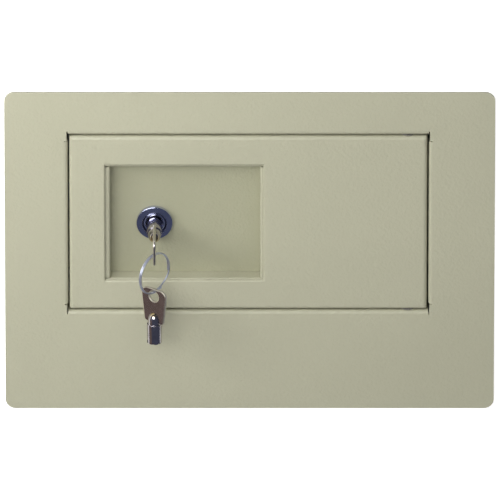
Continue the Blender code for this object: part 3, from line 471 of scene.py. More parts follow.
def add_prism(bm, outline, base, top, matrix):
    """Add an outline in local XY, drawn out along local Z."""
    return add_bar(bm, [[matrix @ Vector((x, y, z)) for x, y in outline] for z in (base, top)])


def rods(*bars):
    """Return round bars, each given as its diameter, base, top, place and count of sides."""
    bm = bmesh.new()
    for diameter, base, top, matrix, sides in bars:
        add_prism(bm, circle(diameter / 2, sides), base, top, matrix)
    return bm


def closed_edges(bm, row):
    """Return the edges of a closed row of verts, made where they are missing."""
    return [bm.edges.get(pair) or bm.edges.new(pair) for pair in zip(row, row[1:] + row[:1])]


def fill_flat(bm, edges, normal=(0, -1, 0)):
    """Fill a flat outline with faces, round the holes in it."""
    bmesh.ops.triangle_fill(bm, edges=edges, use_beauty=True, normal=normal)


def opening_edge():
    """Return the sheet's edge round the opening and where its four bend lines start."""
    points = []
    lines = []
    for x, z, toward_x, toward_z, turn in (
            (open_left, open_bottom, -1, -1, False), (open_right, open_bottom, 1, -1, True),
            (open_right, open_top, 1, 1, False), (open_left, open_top, -1, 1, True)):
        bend_x = x + toward_x * FOLD_RADIUS
        bend_z = z + toward_z * FOLD_RADIUS
        side = z - toward_z * CORNER_RELIEF
        flat = x + toward_x * RELIEF_EDGE
        corner = [(bend_x, side), (bend_x, side + toward_z * RELIEF_SLIT),
                  (flat, side + toward_z * RELIEF_SLIT), (flat, bend_z),
                  (flat - toward_x * RELIEF_SLIT, bend_z)]
        points += reversed(corner) if turn else corner
        lines.append(len(points) - 1)
    return points, lines


putty_coat = powder_coat_group()
putty = finish("putty_powder_coat", putty_coat, bump=PEEL_BUMP, colour=PUTTY, shade=PUTTY_SHADE,
               peel_scale=460.0, roughness_low=0.30, roughness_high=0.36)

door_low, door_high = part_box("door_skin")
open_left = door_low.x - GAP_LEFT
open_right = door_high.x + GAP_RIGHT
open_bottom = door_low.z - GAP_BOTTOM
open_top = door_high.z + GAP_TOP
face_y = plate_low.y
plate_bm = bmesh.new()
plate_edge = [plate_bm.verts.new((x, face_y, z)) for x, z in
              round_outline(front_box("front_plate"), PLATE_CORNER, PLATE_CORNER_STEPS)]
opening_points, bend_starts = opening_edge()
opening = [plate_bm.verts.new((x, face_y, z)) for x, z in opening_points]
fill_flat(plate_bm, closed_edges(plate_bm, plate_edge) + closed_edges(plate_bm, opening))
for start, inward in zip(bend_starts, ((0, 1), (-1, 0), (0, -1), (1, 0))):
    last = (opening[start], opening[(start + 1) % len(opening)])
    ends = (last[0].co.copy(), last[1].co.copy())
    for out, back in fold_stations(FOLD_RADIUS, plate_high.y - face_y)[1:]:
        shift = Vector((inward[0] * out, back, inward[1] * out))
        pair = (plate_bm.verts.new(ends[0] + shift), plate_bm.verts.new(ends[1] + shift))
        plate_bm.faces.new((last[0], last[1], pair[1], pair[0]))
        last = pair
trim_plate = sheet_piece("trim_plate", plate_bm, SKIN, (0, -1, 0))
hinge_axis = joint_place("door_hinge")
hinge_line = Matrix.Translation((hinge_axis.x, hinge_axis.y, 0))
carve(trim_plate, rods((PIN_HOLE, open_top - SKIN, open_top + 2 * SKIN, hinge_line, PIN_HOLE_SIDES),
                       (PIN_HOLE, open_bottom - 2 * SKIN, open_bottom + SKIN, hinge_line, PIN_HOLE_SIDES)))
ease_edges(trim_plate, SHEET_ROUNDING, marked=True)
place_piece(trim_plate, putty, "frame", "powder_coat", "front_plate")

# The door is a steel pan, powder-coated like the plate, with its edges folded back all round
# and its corners welded and ground. The edge of its window is rolled back over the lock box.
DOOR_CORNER = 0.0009
DOOR_CORNER_STEPS = 5
INNER_CORNER = 0.0003
WINDOW_ROLL = 0.0013
WINDOW_ROLL_STEPS = 6
WINDOW_CORNER = 0.0006
WINDOW_CORNER_STEPS = 4
WINDOW_LEFT = 0.0223
WINDOW_TOP = 0.0201
WINDOW_BOTTOM = 0.0203
WINDOW_WIDTH = 0.0983

window = (door_low.x + WINDOW_LEFT, door_low.x + WINDOW_LEFT + WINDOW_WIDTH,
          door_low.z + WINDOW_BOTTOM, door_high.z - WINDOW_TOP)


def grown(box, by):
    """Return a rectangle (left, right, bottom, top) grown all round."""
    return (box[0] - by, box[1] + by, box[2] - by, box[3] + by)


def add_pan(bm, box, y, depth, corner, thickness, radius=FOLD_RADIUS, inward=1, steps=DOOR_CORNER_STEPS):
    """Add a pan's folded edges, outside and inside, and return where its two flat faces start."""
    flat = grown(box, -radius)
    stations = [(out, back, corner) for out, back in fold_stations(radius, depth)]
    inside = fold_stations(radius - thickness, depth - thickness)
    stations += [(out, thickness + back, INNER_CORNER) for out, back in reversed(inside)]
    rows = add_band(bm, [[(x, y + inward * back, z) for x, z in round_outline(grown(flat, out), turn, steps)]
                         for out, back, turn in stations], closed=True)
    return closed_edges(bm, rows[0]), closed_edges(bm, rows[-1])


door_bm = bmesh.new()
pan_edges = add_pan(door_bm, front_box("door_skin"), face_y, door_high.y - door_low.y, DOOR_CORNER, SKIN)
roll_lines = []
for out, back in fold_stations(WINDOW_ROLL, SKIN, WINDOW_ROLL_STEPS):
    roll = round_outline(grown(window, WINDOW_ROLL - out), WINDOW_CORNER, WINDOW_CORNER_STEPS)
    roll_lines.append([(x, face_y + back, z) for x, z in roll])
rolled = add_band(door_bm, roll_lines, closed=True)
for pan_edge, row in zip(pan_edges, (rolled[0], rolled[-1])):
    fill_flat(door_bm, pan_edge + closed_edges(door_bm, row))
bmesh.ops.recalc_face_normals(door_bm, faces=door_bm.faces)
door_pan = piece_of("door_pan", door_bm)
carve(door_pan, rods((PIN_HOLE, door_high.z - 2 * SKIN, door_high.z + SKIN, hinge_line, PIN_HOLE_SIDES),
                     (PIN_HOLE, door_low.z - SKIN, door_low.z + 2 * SKIN, hinge_line, PIN_HOLE_SIDES)))
ease_edges(door_pan, SHEET_ROUNDING)
place_piece(door_pan, putty, "door", "powder_coat", "door_skin")

# The lock box behind the window is folded from thin sheet and painted with the door. Its top
# and bottom strips run the whole width over the two side strips, and each strip's lip lies
# behind the door's skin.
LINER = 0.0012
LIP_BEHIND = 0.0080
LIP_LEFT = 0.0030
LIP_RIGHT = 0.0019
LIP_TOP = 0.0021
LIP_BOTTOM = 0.0004
LIP_FOLD = 0.0014
LIP_FOLD_STEPS = 6
SEAM = 0.00014
STRIP_ROUNDING = 0.00012

cavity = (window[0] + LIP_LEFT, window[1] - LIP_RIGHT, window[2] + LIP_BOTTOM, window[3] - LIP_TOP)
recess_low, recess_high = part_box("recess_box")
wide_ends = (cavity[0] - LINER - LIP_BEHIND, cavity[1] + LINER + LIP_BEHIND)
side_ends = (cavity[2] + SEAM, cavity[3] - SEAM)
for strip_name, edge, away, ends in (("recess_top_strip", cavity[3], 1, wide_ends),
                                     ("recess_bottom_strip", cavity[2], -1, wide_ends),
                                     ("recess_left_strip", cavity[0], -1, side_ends),
                                     ("recess_right_strip", cavity[1], 1, side_ends)):
    profile = [(edge + away * (LIP_BEHIND + LINER), recess_low.y)]
    for out, back in fold_stations(LIP_FOLD, recess_high.y - recess_low.y, LIP_FOLD_STEPS):
        profile.append((edge + away * (LIP_FOLD - out), recess_low.y + back))
    strip_bm = bmesh.new()
    add_band(strip_bm, [[(along, y, across) if ends is wide_ends else (across, y, along)
                         for across, y in profile] for along in ends])
    strip = sheet_piece(strip_name, strip_bm, LINER, (0, -1, 0))
    ease_edges(strip, STRIP_ROUNDING, marked=True)
    place_piece(strip, putty, "door", "powder_coat")
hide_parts("recess_box")

# The lock plate closes the lock box at the back. It is a plain sheet, whose hole has two
# flats that keep the lock from turning. It has the door's powder coat, in a putty darker and
# a little greener than the door's, which is painted shade for the depth of the lock box.
RECESS_PUTTY_PAINTED_SHADE = (0.408, 0.403, 0.280)
RECESS_MOTTLE_PAINTED_SHADE = (0.386, 0.382, 0.264)

plate_node = frame["nodes"]["lock_plate"]
plate_node.data.materials.clear()
# The lock plate's darker, greener putty is painted shade for the depth of the lock box.
plate_node.data.materials.append(finish(
    "recess_coat_painted_shade", putty_coat, bump=PEEL_BUMP, colour=RECESS_PUTTY_PAINTED_SHADE, shade=RECESS_MOTTLE_PAINTED_SHADE,
    peel_scale=620.0, roughness_low=0.34, roughness_high=0.40))

# The lock's housing is die-cast and chrome-plated: a round bezel with a soft shoulder and a
# dish in it, and a threaded barrel with two flats behind. The core in its bore has a post in
# a ring-shaped keyway, and seven brass tumblers show at the keyway's floor.
BEZEL_DIAMETER = 0.0226
BEZEL_HEIGHT = 0.0040
BEZEL_SIDE = 0.0031
BEZEL_EDGE = 0.0011
BEZEL_SHOULDER = (0.0095, 0.00355)
BEZEL_RIM = 0.0077
BEZEL_UNDERCUT = 0.0002
BEZEL_EASING = 0.0012
DISH_DIAMETER = 0.0148
DISH_DEPTH = 0.0012
DISH_RIM = 0.0004
HOUSING_DIAMETER = 0.0190
HOUSING_FLAT = 0.0160
THREAD_PITCH = 0.0010
THREAD_DEPTH = 0.00045
THREAD_START = 0.0030
CORE_DIAMETER = 0.0136
CORE_EASING = 0.0003
KEYWAY_OUTER = 0.0106
KEYWAY_DEPTH = 0.0042
POST_DIAMETER = 0.0059
SEAT_GAP = 0.0003
SPINDLE_DIAMETER = 0.0080
TUMBLER_DIAMETER = 0.0015
TUMBLER_EASING = 0.0004
TUMBLER_COUNT = 7
TUMBLER_SIDES = 20
CREASE = 35
MOST_EASED = 0.4

lock_axis = joint_place("core_turn")
housing_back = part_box("lock_housing")[1].y
lock_plate_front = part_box("lock_plate")[0].y
core_low, core_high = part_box("lock_core")


def along_y(x, y, z):
    """Return a matrix whose local Z runs into the wall from a place."""
    return Matrix.Translation((x, y, z)) @ Matrix.Rotation(-math.pi / 2, 4, "X")


def eased(points, radius, steps=3, closed=False):
    """Round the corners of a profile."""
    if closed:
        triples = zip(points[-1:] + points[:-1], points, points[1:] + points[:1])
    else:
        triples = zip(points, points[1:], points[2:])
    rounded = []
    for before, corner, after in triples:
        corner = Vector(corner)
        back = Vector(before) - corner
        on = Vector(after) - corner
        cut = min(radius, MOST_EASED * back.length, MOST_EASED * on.length)
        first = corner + back.normalized() * cut
        last = corner + on.normalized() * cut
        for k in range(steps + 1):
            t = k / steps
            rounded.append(tuple((1 - t) ** 2 * first + 2 * t * (1 - t) * corner + t * t * last))
    return rounded if closed else [points[0]] + rounded + [points[-1]]


def add_turned(bm, profile, matrix, sides, hollow=False):
    """Add a solid turned about local Z from (radius, height) points, and return the bmesh."""
    rings = []
    for radius, height in profile:
        places = circle(radius, sides if radius else 1)
        rings.append([bm.verts.new(matrix @ Vector((x, y, height))) for x, y in places])
    for a, b in zip(rings, rings[1:] + rings[:1] if hollow else rings[1:]):
        for k in range(sides):
            j = (k + 1) % sides
            corners = (a[k % len(a)], a[j % len(a)], b[j % len(b)], b[k % len(b)])
            bm.faces.new(list(dict.fromkeys(corners)))
    bmesh.ops.recalc_face_normals(bm, faces=bm.faces)
    return bm


def turned(profile, matrix, sides, hollow=False):
    """Return a bmesh with one turned solid."""
    return add_turned(bmesh.new(), profile, matrix, sides, hollow)


def add_block(bm, low, high):
    """Add a closed block between two corners, and return the bmesh."""
    low = Vector(low)
    high = Vector(high)
    place = Matrix.Translation((low + high) / 2) @ Matrix.Diagonal((*(high - low), 1))
    bmesh.ops.create_cube(bm, size=1, matrix=place)
    return bm


def polish_group():
    """Plated and buffed metal: a faint haze, hairline scratches and a slight ripple."""
    group, given, out = surface_group("polished_plate", ["Colour", "Shade"],
                                      ["Haze Low", "Haze High", "Ripple Scale"])
    place = object_place(group)
    haze = spread(group, grain(group, place, scale=260.0, detail=3.0), 0.0, 1.0)
    scratches = grain(group, object_place(group, (1.0, 1.0, 9.0)), scale=2400.0)
    rough = sum_of(group, haze, spread(group, scratches, 0.0, 0.5, span=(0.55, 0.75)))
    ripple = grain(group, place, given["Ripple Scale"], detail=1.0)
    feed(group, out, {
        "Colour": blend_colours(group, haze, given["Colour"], given["Shade"]),
        "Roughness": spread(group, rough, given["Haze Low"], given["Haze High"], span=(0.0, 1.5)),
        "Height": sum_of(group, ripple, sum_of(group, scratches, 0.08, "MULTIPLY"))})
    return group


polished = polish_group()
# The chrome's strong blue tint is painted reflection: it turns the paint and room that the bezel reflects
# slate-blue.
chrome = finish("lock_chrome_painted_reflection", polished, bump=0.00004, metallic=1.0, colour=(0.64, 0.68, 0.88),
                shade=(0.54, 0.58, 0.77), haze_low=0.08, haze_high=0.17, ripple_scale=350.0)
brass = finish("tumbler_brass", polished, bump=0.00002, metallic=1.0, colour=(0.78, 0.57, 0.24),
               shade=(0.62, 0.42, 0.16), haze_low=0.18, haze_high=0.35, ripple_scale=900.0)

bezel = BEZEL_DIAMETER / 2
mouth = CORE_DIAMETER / 2 + SEAT_GAP
slope = (BEZEL_SHOULDER[1] - BEZEL_SIDE) / (bezel - BEZEL_SHOULDER[0])
front = eased([(bezel - BEZEL_UNDERCUT, -SEAT_GAP), (bezel, -2 * SEAT_GAP), (bezel, -BEZEL_SIDE),
               (bezel - BEZEL_EDGE, -BEZEL_SIDE - BEZEL_EDGE * slope),
               (BEZEL_SHOULDER[0], -BEZEL_SHOULDER[1]), (BEZEL_RIM, -BEZEL_HEIGHT),
               (DISH_DIAMETER / 2, -BEZEL_HEIGHT + DISH_RIM), (mouth, -BEZEL_HEIGHT + DISH_DEPTH),
               (mouth, -BEZEL_HEIGHT + 2 * DISH_DEPTH)], BEZEL_EASING, steps=8)
barrel = HOUSING_DIAMETER / 2
root = barrel - THREAD_DEPTH
barrel_length = housing_back - lock_plate_front
thread = []
for k in range(int((barrel_length - THREAD_START) / THREAD_PITCH)):
    thread += [(barrel, THREAD_START + k * THREAD_PITCH), (root, THREAD_START + (k + 0.5) * THREAD_PITCH)]
housing = piece_of("chromed_housing", turned(
    front + [(mouth, barrel_length), (root, barrel_length)] + thread[::-1] + [(barrel, -SEAT_GAP)],
    along_y(lock_axis.x, lock_plate_front, lock_axis.z), sides=96, hollow=True))
flats = bmesh.new()
for side in (-1, 1):
    near, far = sorted((lock_axis.x + side * HOUSING_FLAT / 2, lock_axis.x + side * HOUSING_DIAMETER))
    add_block(flats, (near, lock_plate_front - SEAT_GAP / 2, lock_axis.z - HOUSING_DIAMETER),
              (far, housing_back + LINER, lock_axis.z + HOUSING_DIAMETER))
carve(housing, flats, crease=CREASE)
place_piece(housing, chrome, "door", "chrome", "lock_housing")

post = POST_DIAMETER / 2
keyway = KEYWAY_OUTER / 2
core_radius = CORE_DIAMETER / 2
spindle = SPINDLE_DIAMETER / 2
core_length = housing_back - core_low.y
core_end = core_high.y - core_low.y
core_place = along_y(lock_axis.x, core_low.y, lock_axis.z)
core = piece_of("chromed_core", turned(eased([
    (0, 0), (post, 0), (post, KEYWAY_DEPTH), (keyway, KEYWAY_DEPTH), (keyway, 0), (core_radius, 0),
    (core_radius, core_length), (spindle, core_length), (spindle, core_end), (0, core_end)],
    CORE_EASING), core_place, sides=64))
tumbler = TUMBLER_DIAMETER / 2
tumbler_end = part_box("tumbler_pin_1")[1].y - core_low.y
tumbler_profile = eased([(0, KEYWAY_DEPTH), (tumbler, KEYWAY_DEPTH), (tumbler, tumbler_end),
                         (0, tumbler_end)], TUMBLER_EASING)
tumbler_places = [core_place @ Matrix.Translation((x, y, 0))
                  for x, y in circle((post + keyway) / 2, TUMBLER_COUNT, math.pi / 2)]
carve(core, rods(*[(TUMBLER_DIAMETER + 2 * SEAT_GAP, KEYWAY_DEPTH - SEAT_GAP, tumbler_end + SEAT_GAP,
                    place, TUMBLER_SIDES) for place in tumbler_places]), crease=CREASE)
place_piece(core, chrome, "core", "zinc_steel", "lock_core")
for number, place in enumerate(tumbler_places, 1):
    pin = piece_of("brass_tumbler_%d" % number, turned(tumbler_profile, place, TUMBLER_SIDES), crease=50)
    place_piece(pin, brass, "core", "brass", "tumbler_pin_%d" % number)

# Behind the lock plate a washer and a hexagonal nut clamp the housing. The core's spindle
# carries the stop washer and the cam, with a pan-head screw. All are zinc-plated steel.
WASHER_EASING = 0.0002
NUT_ACROSS_FLATS = 0.0240
NUT_CHAMFER = 0.0009
NUT_OVERRUN = 0.0002
NUT_GROOVE = 0.0004
NUT_ROUNDING = 0.00015
CAM_WIDTH = 0.0150
CAM_SHOULDER_WIDTH = 0.0112
CAM_NOSE_WIDTH = 0.0068
CAM_EASING = 0.0015
CAM_ARC_STEPS = 24
CAM_ROUNDING = 0.0002
STOP_STEP = 0.0021
STOP_SWEEP = 216
STOP_SIDES = 96
CAM_SCREW_SIDE = 0.0012
CAM_SCREW_RECESS = (0.0028, 0.0005, 0.0013)
RECESS_OPEN = 0.01
SCREW_CROWN_FLAT = 0.3
ZINC = (0.60, 0.605, 0.60)
ZINC_SHADE = (0.45, 0.455, 0.46)


def zinc_group():
    """Zinc-plated steel: cloudy spangle, rolling streaks and small pits."""
    group, given, out = surface_group("zinc_plate", ["Colour", "Shade"],
                                      ["Roughness Low", "Roughness High", "Spangle Scale"])
    place = object_place(group)
    cloud = grain(group, place, given["Spangle Scale"], detail=3.0, roughness=0.6)
    streak = grain(group, object_place(group, (0.12, 1.0, 1.0)), scale=1400.0)
    both = sum_of(group, cloud, sum_of(group, streak, 0.4, "MULTIPLY"))
    clouded = spread(group, both, 0.0, 1.0, span=(0.45, 0.95))
    feed(group, out, {
        "Colour": blend_colours(group, clouded, given["Colour"], given["Shade"]),
        "Roughness": spread(group, both, given["Roughness Low"], given["Roughness High"], span=(0.45, 0.95)),
        "Height": sum_of(group, streak, grain(group, place, scale=2200.0, detail=1.0))})
    return group


def node_span(node, axis=1):
    """Return where a node starts and ends along an axis."""
    low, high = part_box(node)
    return low[axis], high[axis]


def tube(bore, radius, low, high, easing, matrix, sides):
    """Return a short tube with eased edges."""
    profile = [(bore, low), (radius, low), (radius, high), (bore, high)]
    return turned(eased(profile, easing, closed=True), matrix, sides, hollow=True)


def add_screw_head(bm, radius, base, side, crown, matrix):
    """Add a pan head, domed from its side to its crown, and return the bmesh."""
    flat = radius * SCREW_CROWN_FLAT
    dome = [(flat + (radius - flat) * math.cos(angle), base + side + (crown - base - side) * math.sin(angle))
            for angle in quarter(8)[1:]]
    profile = [(0, base), (radius, base), (radius, base + side)] + dome + [(0, crown)]
    return add_turned(bm, profile, matrix, sides=40)


def cut_cross(screw, recess, crown, matrix, turn=0.0):
    """Cut a cross recess (half length, half width, depth) into a screw's crown."""
    for arm_turn in (0, math.pi / 2):
        arm = add_block(bmesh.new(), (-recess[0], -recess[1], 0), (recess[0], recess[1], RECESS_OPEN))
        floor = matrix @ Matrix.Translation((0, 0, crown - recess[2]))
        bmesh.ops.transform(arm, matrix=floor @ Matrix.Rotation(arm_turn + turn, 4, "Z"), verts=arm.verts)
        carve(screw, arm, crease=CREASE)


zinc = finish("zinc_plated_steel", zinc_group(), bump=0.00002, metallic=1.0, colour=ZINC, shade=ZINC_SHADE,
              roughness_low=0.26, roughness_high=0.42, spangle_scale=180.0)
lock_line = along_y(lock_axis.x, 0, lock_axis.z)
lock_hole = HOUSING_DIAMETER / 2 + SEAT_GAP
nut_flat = NUT_ACROSS_FLATS / 2
lock_washer = tube(lock_hole, nut_flat, *node_span("lock_washer"), WASHER_EASING, lock_line, sides=72)
place_piece(piece_of("plated_lock_washer", lock_washer, crease=40), zinc, "door", "zinc_steel", "lock_washer")

nut_low, nut_high = node_span("lock_nut")
nut_corner = NUT_ACROSS_FLATS / math.sqrt(3)
nut_side = nut_corner + NUT_CHAMFER
nut = piece_of("plated_lock_nut", add_prism(bmesh.new(), circle(nut_corner, 6), nut_low, nut_high, lock_line))
carve(nut, turned([(0, nut_low - NUT_OVERRUN), (nut_flat, nut_low - NUT_OVERRUN),
                   (nut_side, nut_low + NUT_CHAMFER), (nut_side, nut_high - NUT_CHAMFER),
                   (nut_flat, nut_high + NUT_OVERRUN), (0, nut_high + NUT_OVERRUN)], lock_line, sides=96),
      "INTERSECT")
groove = [(lock_hole + NUT_GROOVE * (k % 2 == 0), nut_low - NUT_OVERRUN + k * THREAD_PITCH / 2)
          for k in range(int((nut_high - nut_low) / THREAD_PITCH * 2) + 2)]
carve(nut, turned([(0, groove[0][1])] + groove + [(0, groove[-1][1])], lock_line, sides=64))
ease_edges(nut, NUT_ROUNDING)
place_piece(nut, zinc, "door", "zinc_steel", "lock_nut")

stop_kept = math.ceil(STOP_SIDES * STOP_SWEEP / 360)
stop_outline = circle(barrel, STOP_SIDES)[:stop_kept] + circle(barrel - STOP_STEP, STOP_SIDES)[stop_kept:]
cam_length = lock_axis.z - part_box("lock_cam")[0].z
cam_shoulder = cam_length - CAM_WIDTH / 2
cam_arc = [(CAM_WIDTH / 2 * math.cos(a), -CAM_WIDTH / 2 * math.sin(a))
           for a in [math.pi * (1 + k / CAM_ARC_STEPS) for k in range(CAM_ARC_STEPS + 1)]]
cam_outline = cam_arc[:-1] + eased([
    cam_arc[-1], (CAM_SHOULDER_WIDTH / 2, cam_shoulder), (CAM_NOSE_WIDTH / 2, cam_length),
    (-CAM_NOSE_WIDTH / 2, cam_length), (-CAM_SHOULDER_WIDTH / 2, cam_shoulder), cam_arc[0]],
    CAM_EASING, steps=4)[:-1]
for name, outline, node in (("plated_stop_washer", stop_outline, "cam_stop_washer"),
                            ("plated_cam", cam_outline, "lock_cam")):
    low, high = node_span(node)
    flat_piece = piece_of(name, add_prism(bmesh.new(), outline, low, high, lock_line))
    carve(flat_piece, rods((SPINDLE_DIAMETER + 2 * SEAT_GAP, low - LINER, high + LINER, lock_line, 48)))
    ease_edges(flat_piece, CAM_ROUNDING, steps=3)
    place_piece(flat_piece, zinc, "core", "zinc_steel", node)

low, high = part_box("cam_screw")
cam_screw = piece_of("plated_cam_screw", add_screw_head(bmesh.new(), (high.x - low.x) / 2, low.y,
                                                        CAM_SCREW_SIDE, high.y, lock_line))
cut_cross(cam_screw, CAM_SCREW_RECESS, high.y, lock_line)
place_piece(cam_screw, zinc, "core", "zinc_steel", "cam_screw")

# The door's back is closed by a flat cover sheet in the body's paint. Six pan-head screws
# hold it through short standoffs, and a round hole lets the lock's nut be reached.
BACKING_HOLE = 0.0300
BACKING_CORNER = 0.0008
BODY_PUTTY = (0.455, 0.447, 0.345)
BODY_SHADE = (0.42, 0.413, 0.318)
BODY_ROUNDING = 0.00018
SCREW_COUNT = 6
SCREW_DIAMETER = 0.0036
SCREW_HEAD_SIDE = 0.0010
SCREW_RECESS = (0.0021, 0.0004, 0.0011)
SCREW_TURN = 0.35
SHANK_OVERLAP = 0.0001
FASTENER_EASING = 0.0003


def line_through(node):
    """Return a line into the wall through the middle of a node, as a matrix."""
    low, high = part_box(node)
    return along_y((low.x + high.x) / 2, 0, (low.z + high.z) / 2)


body_coat = finish("body_powder_coat", putty_coat, bump=0.00006, colour=BODY_PUTTY, shade=BODY_SHADE,
                   peel_scale=430.0, roughness_low=0.42, roughness_high=0.52)
cover_low, cover_high = node_span("door_backing")
cover_outline = [(x, -z) for x, z in round_outline(front_box("door_backing"), BACKING_CORNER, steps=4)]
cover = piece_of("painted_door_backing",
                 add_prism(bmesh.new(), cover_outline, cover_low, cover_high, along_y(0, 0, 0)))
screw_bore = SCREW_DIAMETER + 2 * SEAT_GAP
carve(cover, rods((BACKING_HOLE, cover_low - LINER, cover_high + LINER, lock_line, 72),
                  *[(screw_bore, cover_low - LINER, cover_high + LINER,
                     line_through("backing_screw_%d" % number), 24) for number in range(1, SCREW_COUNT + 1)]))
ease_edges(cover, BODY_ROUNDING)
place_piece(cover, body_coat, "door", "body_coat", "door_backing")

for number in range(1, SCREW_COUNT + 1):
    low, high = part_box("backing_screw_%d" % number)
    line = line_through("backing_screw_%d" % number)
    seat = cover_high + SEAT_GAP
    shank = [(0, low.y), (SCREW_DIAMETER / 2, low.y), (SCREW_DIAMETER / 2, seat + SHANK_OVERLAP),
             (0, seat + SHANK_OVERLAP)]
    screw_bm = add_screw_head(bmesh.new(), (high.x - low.x) / 2, seat, SCREW_HEAD_SIDE, high.y, line)
    add_turned(screw_bm, eased(shank, FASTENER_EASING), line, sides=24)
    screw = piece_of("plated_backing_screw_%d" % number, screw_bm)
    cut_cross(screw, SCREW_RECESS, high.y, line, SCREW_TURN * number)
    place_piece(screw, zinc, "door", "zinc_steel", "backing_screw_%d" % number)
    low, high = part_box("backing_standoff_%d" % number)
    standoff = tube(screw_bore / 2, (high.x - low.x) / 2, low.y, high.y, FASTENER_EASING, line, sides=48)
    place_piece(piece_of("plated_standoff_%d" % number, standoff, CREASE), zinc, "door", "zinc_steel",
                "backing_standoff_%d" % number)

# The body is one sheet folded round its four corners and butted along the bottom, with screw
# holes for the studs in its sides. A back panel with flanges is spot-welded into it, and
# short weld beads hold it to the trim plate's back. It is painted all over.
WALL = 0.0015
BODY_CORNER = 0.0030
BACK_FLANGE = 0.0120
BACK_FOLD = 0.0030
STUD_HOLE = 0.0050
STUD_HOLE_FRONT = 0.0400
STUD_HOLE_BACK = 0.0200
STUD_HOLE_PITCH = 0.1200
BUTT_GAP = 0.00025
TOUCHING = 1e-6
SPOT_WELD = 0.0055
SPOT_PITCH = 0.0420
SPOT_DEPTH = 0.00022
SPOT_FLAT = 0.78
SPOT_SHIFT = 0.0008
SPOT_EASING = 0.0003
BEAD_LENGTH = 0.0190
BEAD_LEG = 0.0024
BEAD_ROOT = 0.0006
BEAD_SINK = 0.0002
BEAD_RIPPLE = 0.0011
BEAD_RIPPLE_HEIGHT = 0.07
BEAD_TAPER = 6
BEAD_END_LEG = 0.15
BEAD_CROWN = 1.2
BEAD_STEPS = 36
BEAD_PITCH_ACROSS = 0.056
BEAD_PITCH_UP = 0.060

wrap_low, wrap_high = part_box("body_wrap")
body_middle = (wrap_low + wrap_high) / 2
outline = round_outline(front_box("body_wrap"), BODY_CORNER, steps=8)
first_bottom = next(k for k, (x, z) in enumerate(outline) if z < wrap_low.z + TOUCHING)
butted = [(BUTT_GAP / 2, wrap_low.z)] + outline[first_bottom + 1:] + outline[:first_bottom + 1]
butted.append((-BUTT_GAP / 2, wrap_low.z))
wrap_bm = bmesh.new()
add_band(wrap_bm, [[(x, y, z) for x, z in butted] for y in (wrap_low.y, wrap_high.y)])
wrap = sheet_piece("painted_wrap", wrap_bm, WALL, (0, 0, 1))


def spaced(count, pitch):
    """Return places about 0, a pitch apart."""
    return [(k - (count - 1) / 2) * pitch for k in range(count)]


def add_spot(bm, place, normal):
    """Add the cutter of one spot weld's shallow dimple."""
    turn = Vector((0, 0, 1)).rotation_difference(Vector(normal)).to_matrix().to_4x4()
    radius = SPOT_WELD / 2
    profile = [(0, -SPOT_DEPTH), (radius * SPOT_FLAT, -SPOT_DEPTH), (radius, 0.0), (radius, SPOT_DEPTH),
               (0, SPOT_DEPTH)]
    add_turned(bm, eased(profile, SPOT_EASING, steps=2), Matrix.Translation(place) @ turn, sides=32)


def add_bead(bm, place, along, out):
    """Add one weld bead: a rippled quarter round in the corner of wall and plate."""
    along = Vector(along)
    out = Vector(out)
    into = Vector((0, 1, 0))
    rows = []
    for k in range(BEAD_STEPS + 1):
        t = k / BEAD_STEPS
        full = math.sin(math.pi / 2 * min(1, BEAD_TAPER * t, BEAD_TAPER * (1 - t)))
        ripple = 1 + BEAD_RIPPLE_HEIGHT * math.sin(t * BEAD_LENGTH / BEAD_RIPPLE * 2 * math.pi)
        leg = BEAD_LEG * (BEAD_END_LEG + (1 - BEAD_END_LEG) * full) * ripple
        centre = Vector(place) + along * (t - 0.5) * BEAD_LENGTH
        rows.append([centre - out * BEAD_ROOT])
        for a in quarter(8):
            rows[-1].append(centre + out * leg * math.cos(a) ** BEAD_CROWN
                            + into * leg * math.sin(a) ** BEAD_CROWN)
    add_bar(bm, rows)


stud_bars = []
for y in (STUD_HOLE_FRONT, wrap_high.y - STUD_HOLE_BACK):
    for z in spaced(2, STUD_HOLE_PITCH):
        across = Matrix.Translation((0, y, body_middle.z + z)) @ Matrix.Rotation(math.pi / 2, 4, "Y")
        stud_bars += [(STUD_HOLE, wrap_low.x - WALL, wrap_low.x + 2 * WALL, across, 40),
                      (STUD_HOLE, wrap_high.x - 2 * WALL, wrap_high.x + WALL, across, 40)]
holes = rods(*stud_bars)
beads = bmesh.new()
spot_y = wrap_high.y - BACK_FLANGE / 2 - SPOT_SHIFT
bead_y = wrap_low.y - BEAD_SINK
for side, edge in ((-1, wrap_low), (1, wrap_high)):
    for z in spaced(4, SPOT_PITCH):
        add_spot(holes, (edge.x, spot_y, body_middle.z + z), (side, 0, 0))
    for x in spaced(6, SPOT_PITCH):
        add_spot(holes, (body_middle.x + x, spot_y, edge.z), (0, 0, side))
    for x in spaced(5, BEAD_PITCH_ACROSS):
        add_bead(beads, (body_middle.x + x, bead_y, edge.z - side * BEAD_SINK), (1, 0, 0), (0, 0, side))
    for z in spaced(3, BEAD_PITCH_UP):
        add_bead(beads, (edge.x - side * BEAD_SINK, bead_y, body_middle.z + z), (0, 0, 1), (side, 0, 0))
carve(wrap, holes)
ease_edges(wrap, BODY_ROUNDING, marked=True)
place_piece(wrap, body_coat, "frame", "body_coat", "body_wrap")

back_low, back_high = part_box("body_back")
back_bm = bmesh.new()
for pan_edge in add_pan(back_bm, front_box("body_back"), back_high.y, back_high.y - back_low.y,
                        BODY_CORNER - WALL - SEAT_GAP, WALL, BACK_FOLD, inward=-1, steps=6):
    fill_flat(back_bm, pan_edge, (0, 1, 0))
bmesh.ops.recalc_face_normals(back_bm, faces=back_bm.faces)
back_panel = piece_of("painted_back", back_bm)
ease_edges(back_panel, BODY_ROUNDING)
place_piece(back_panel, body_coat, "frame", "body_coat", "body_back")
place_piece(piece_of("weld_beads", beads, crease=60), body_coat, "frame", "body_coat")

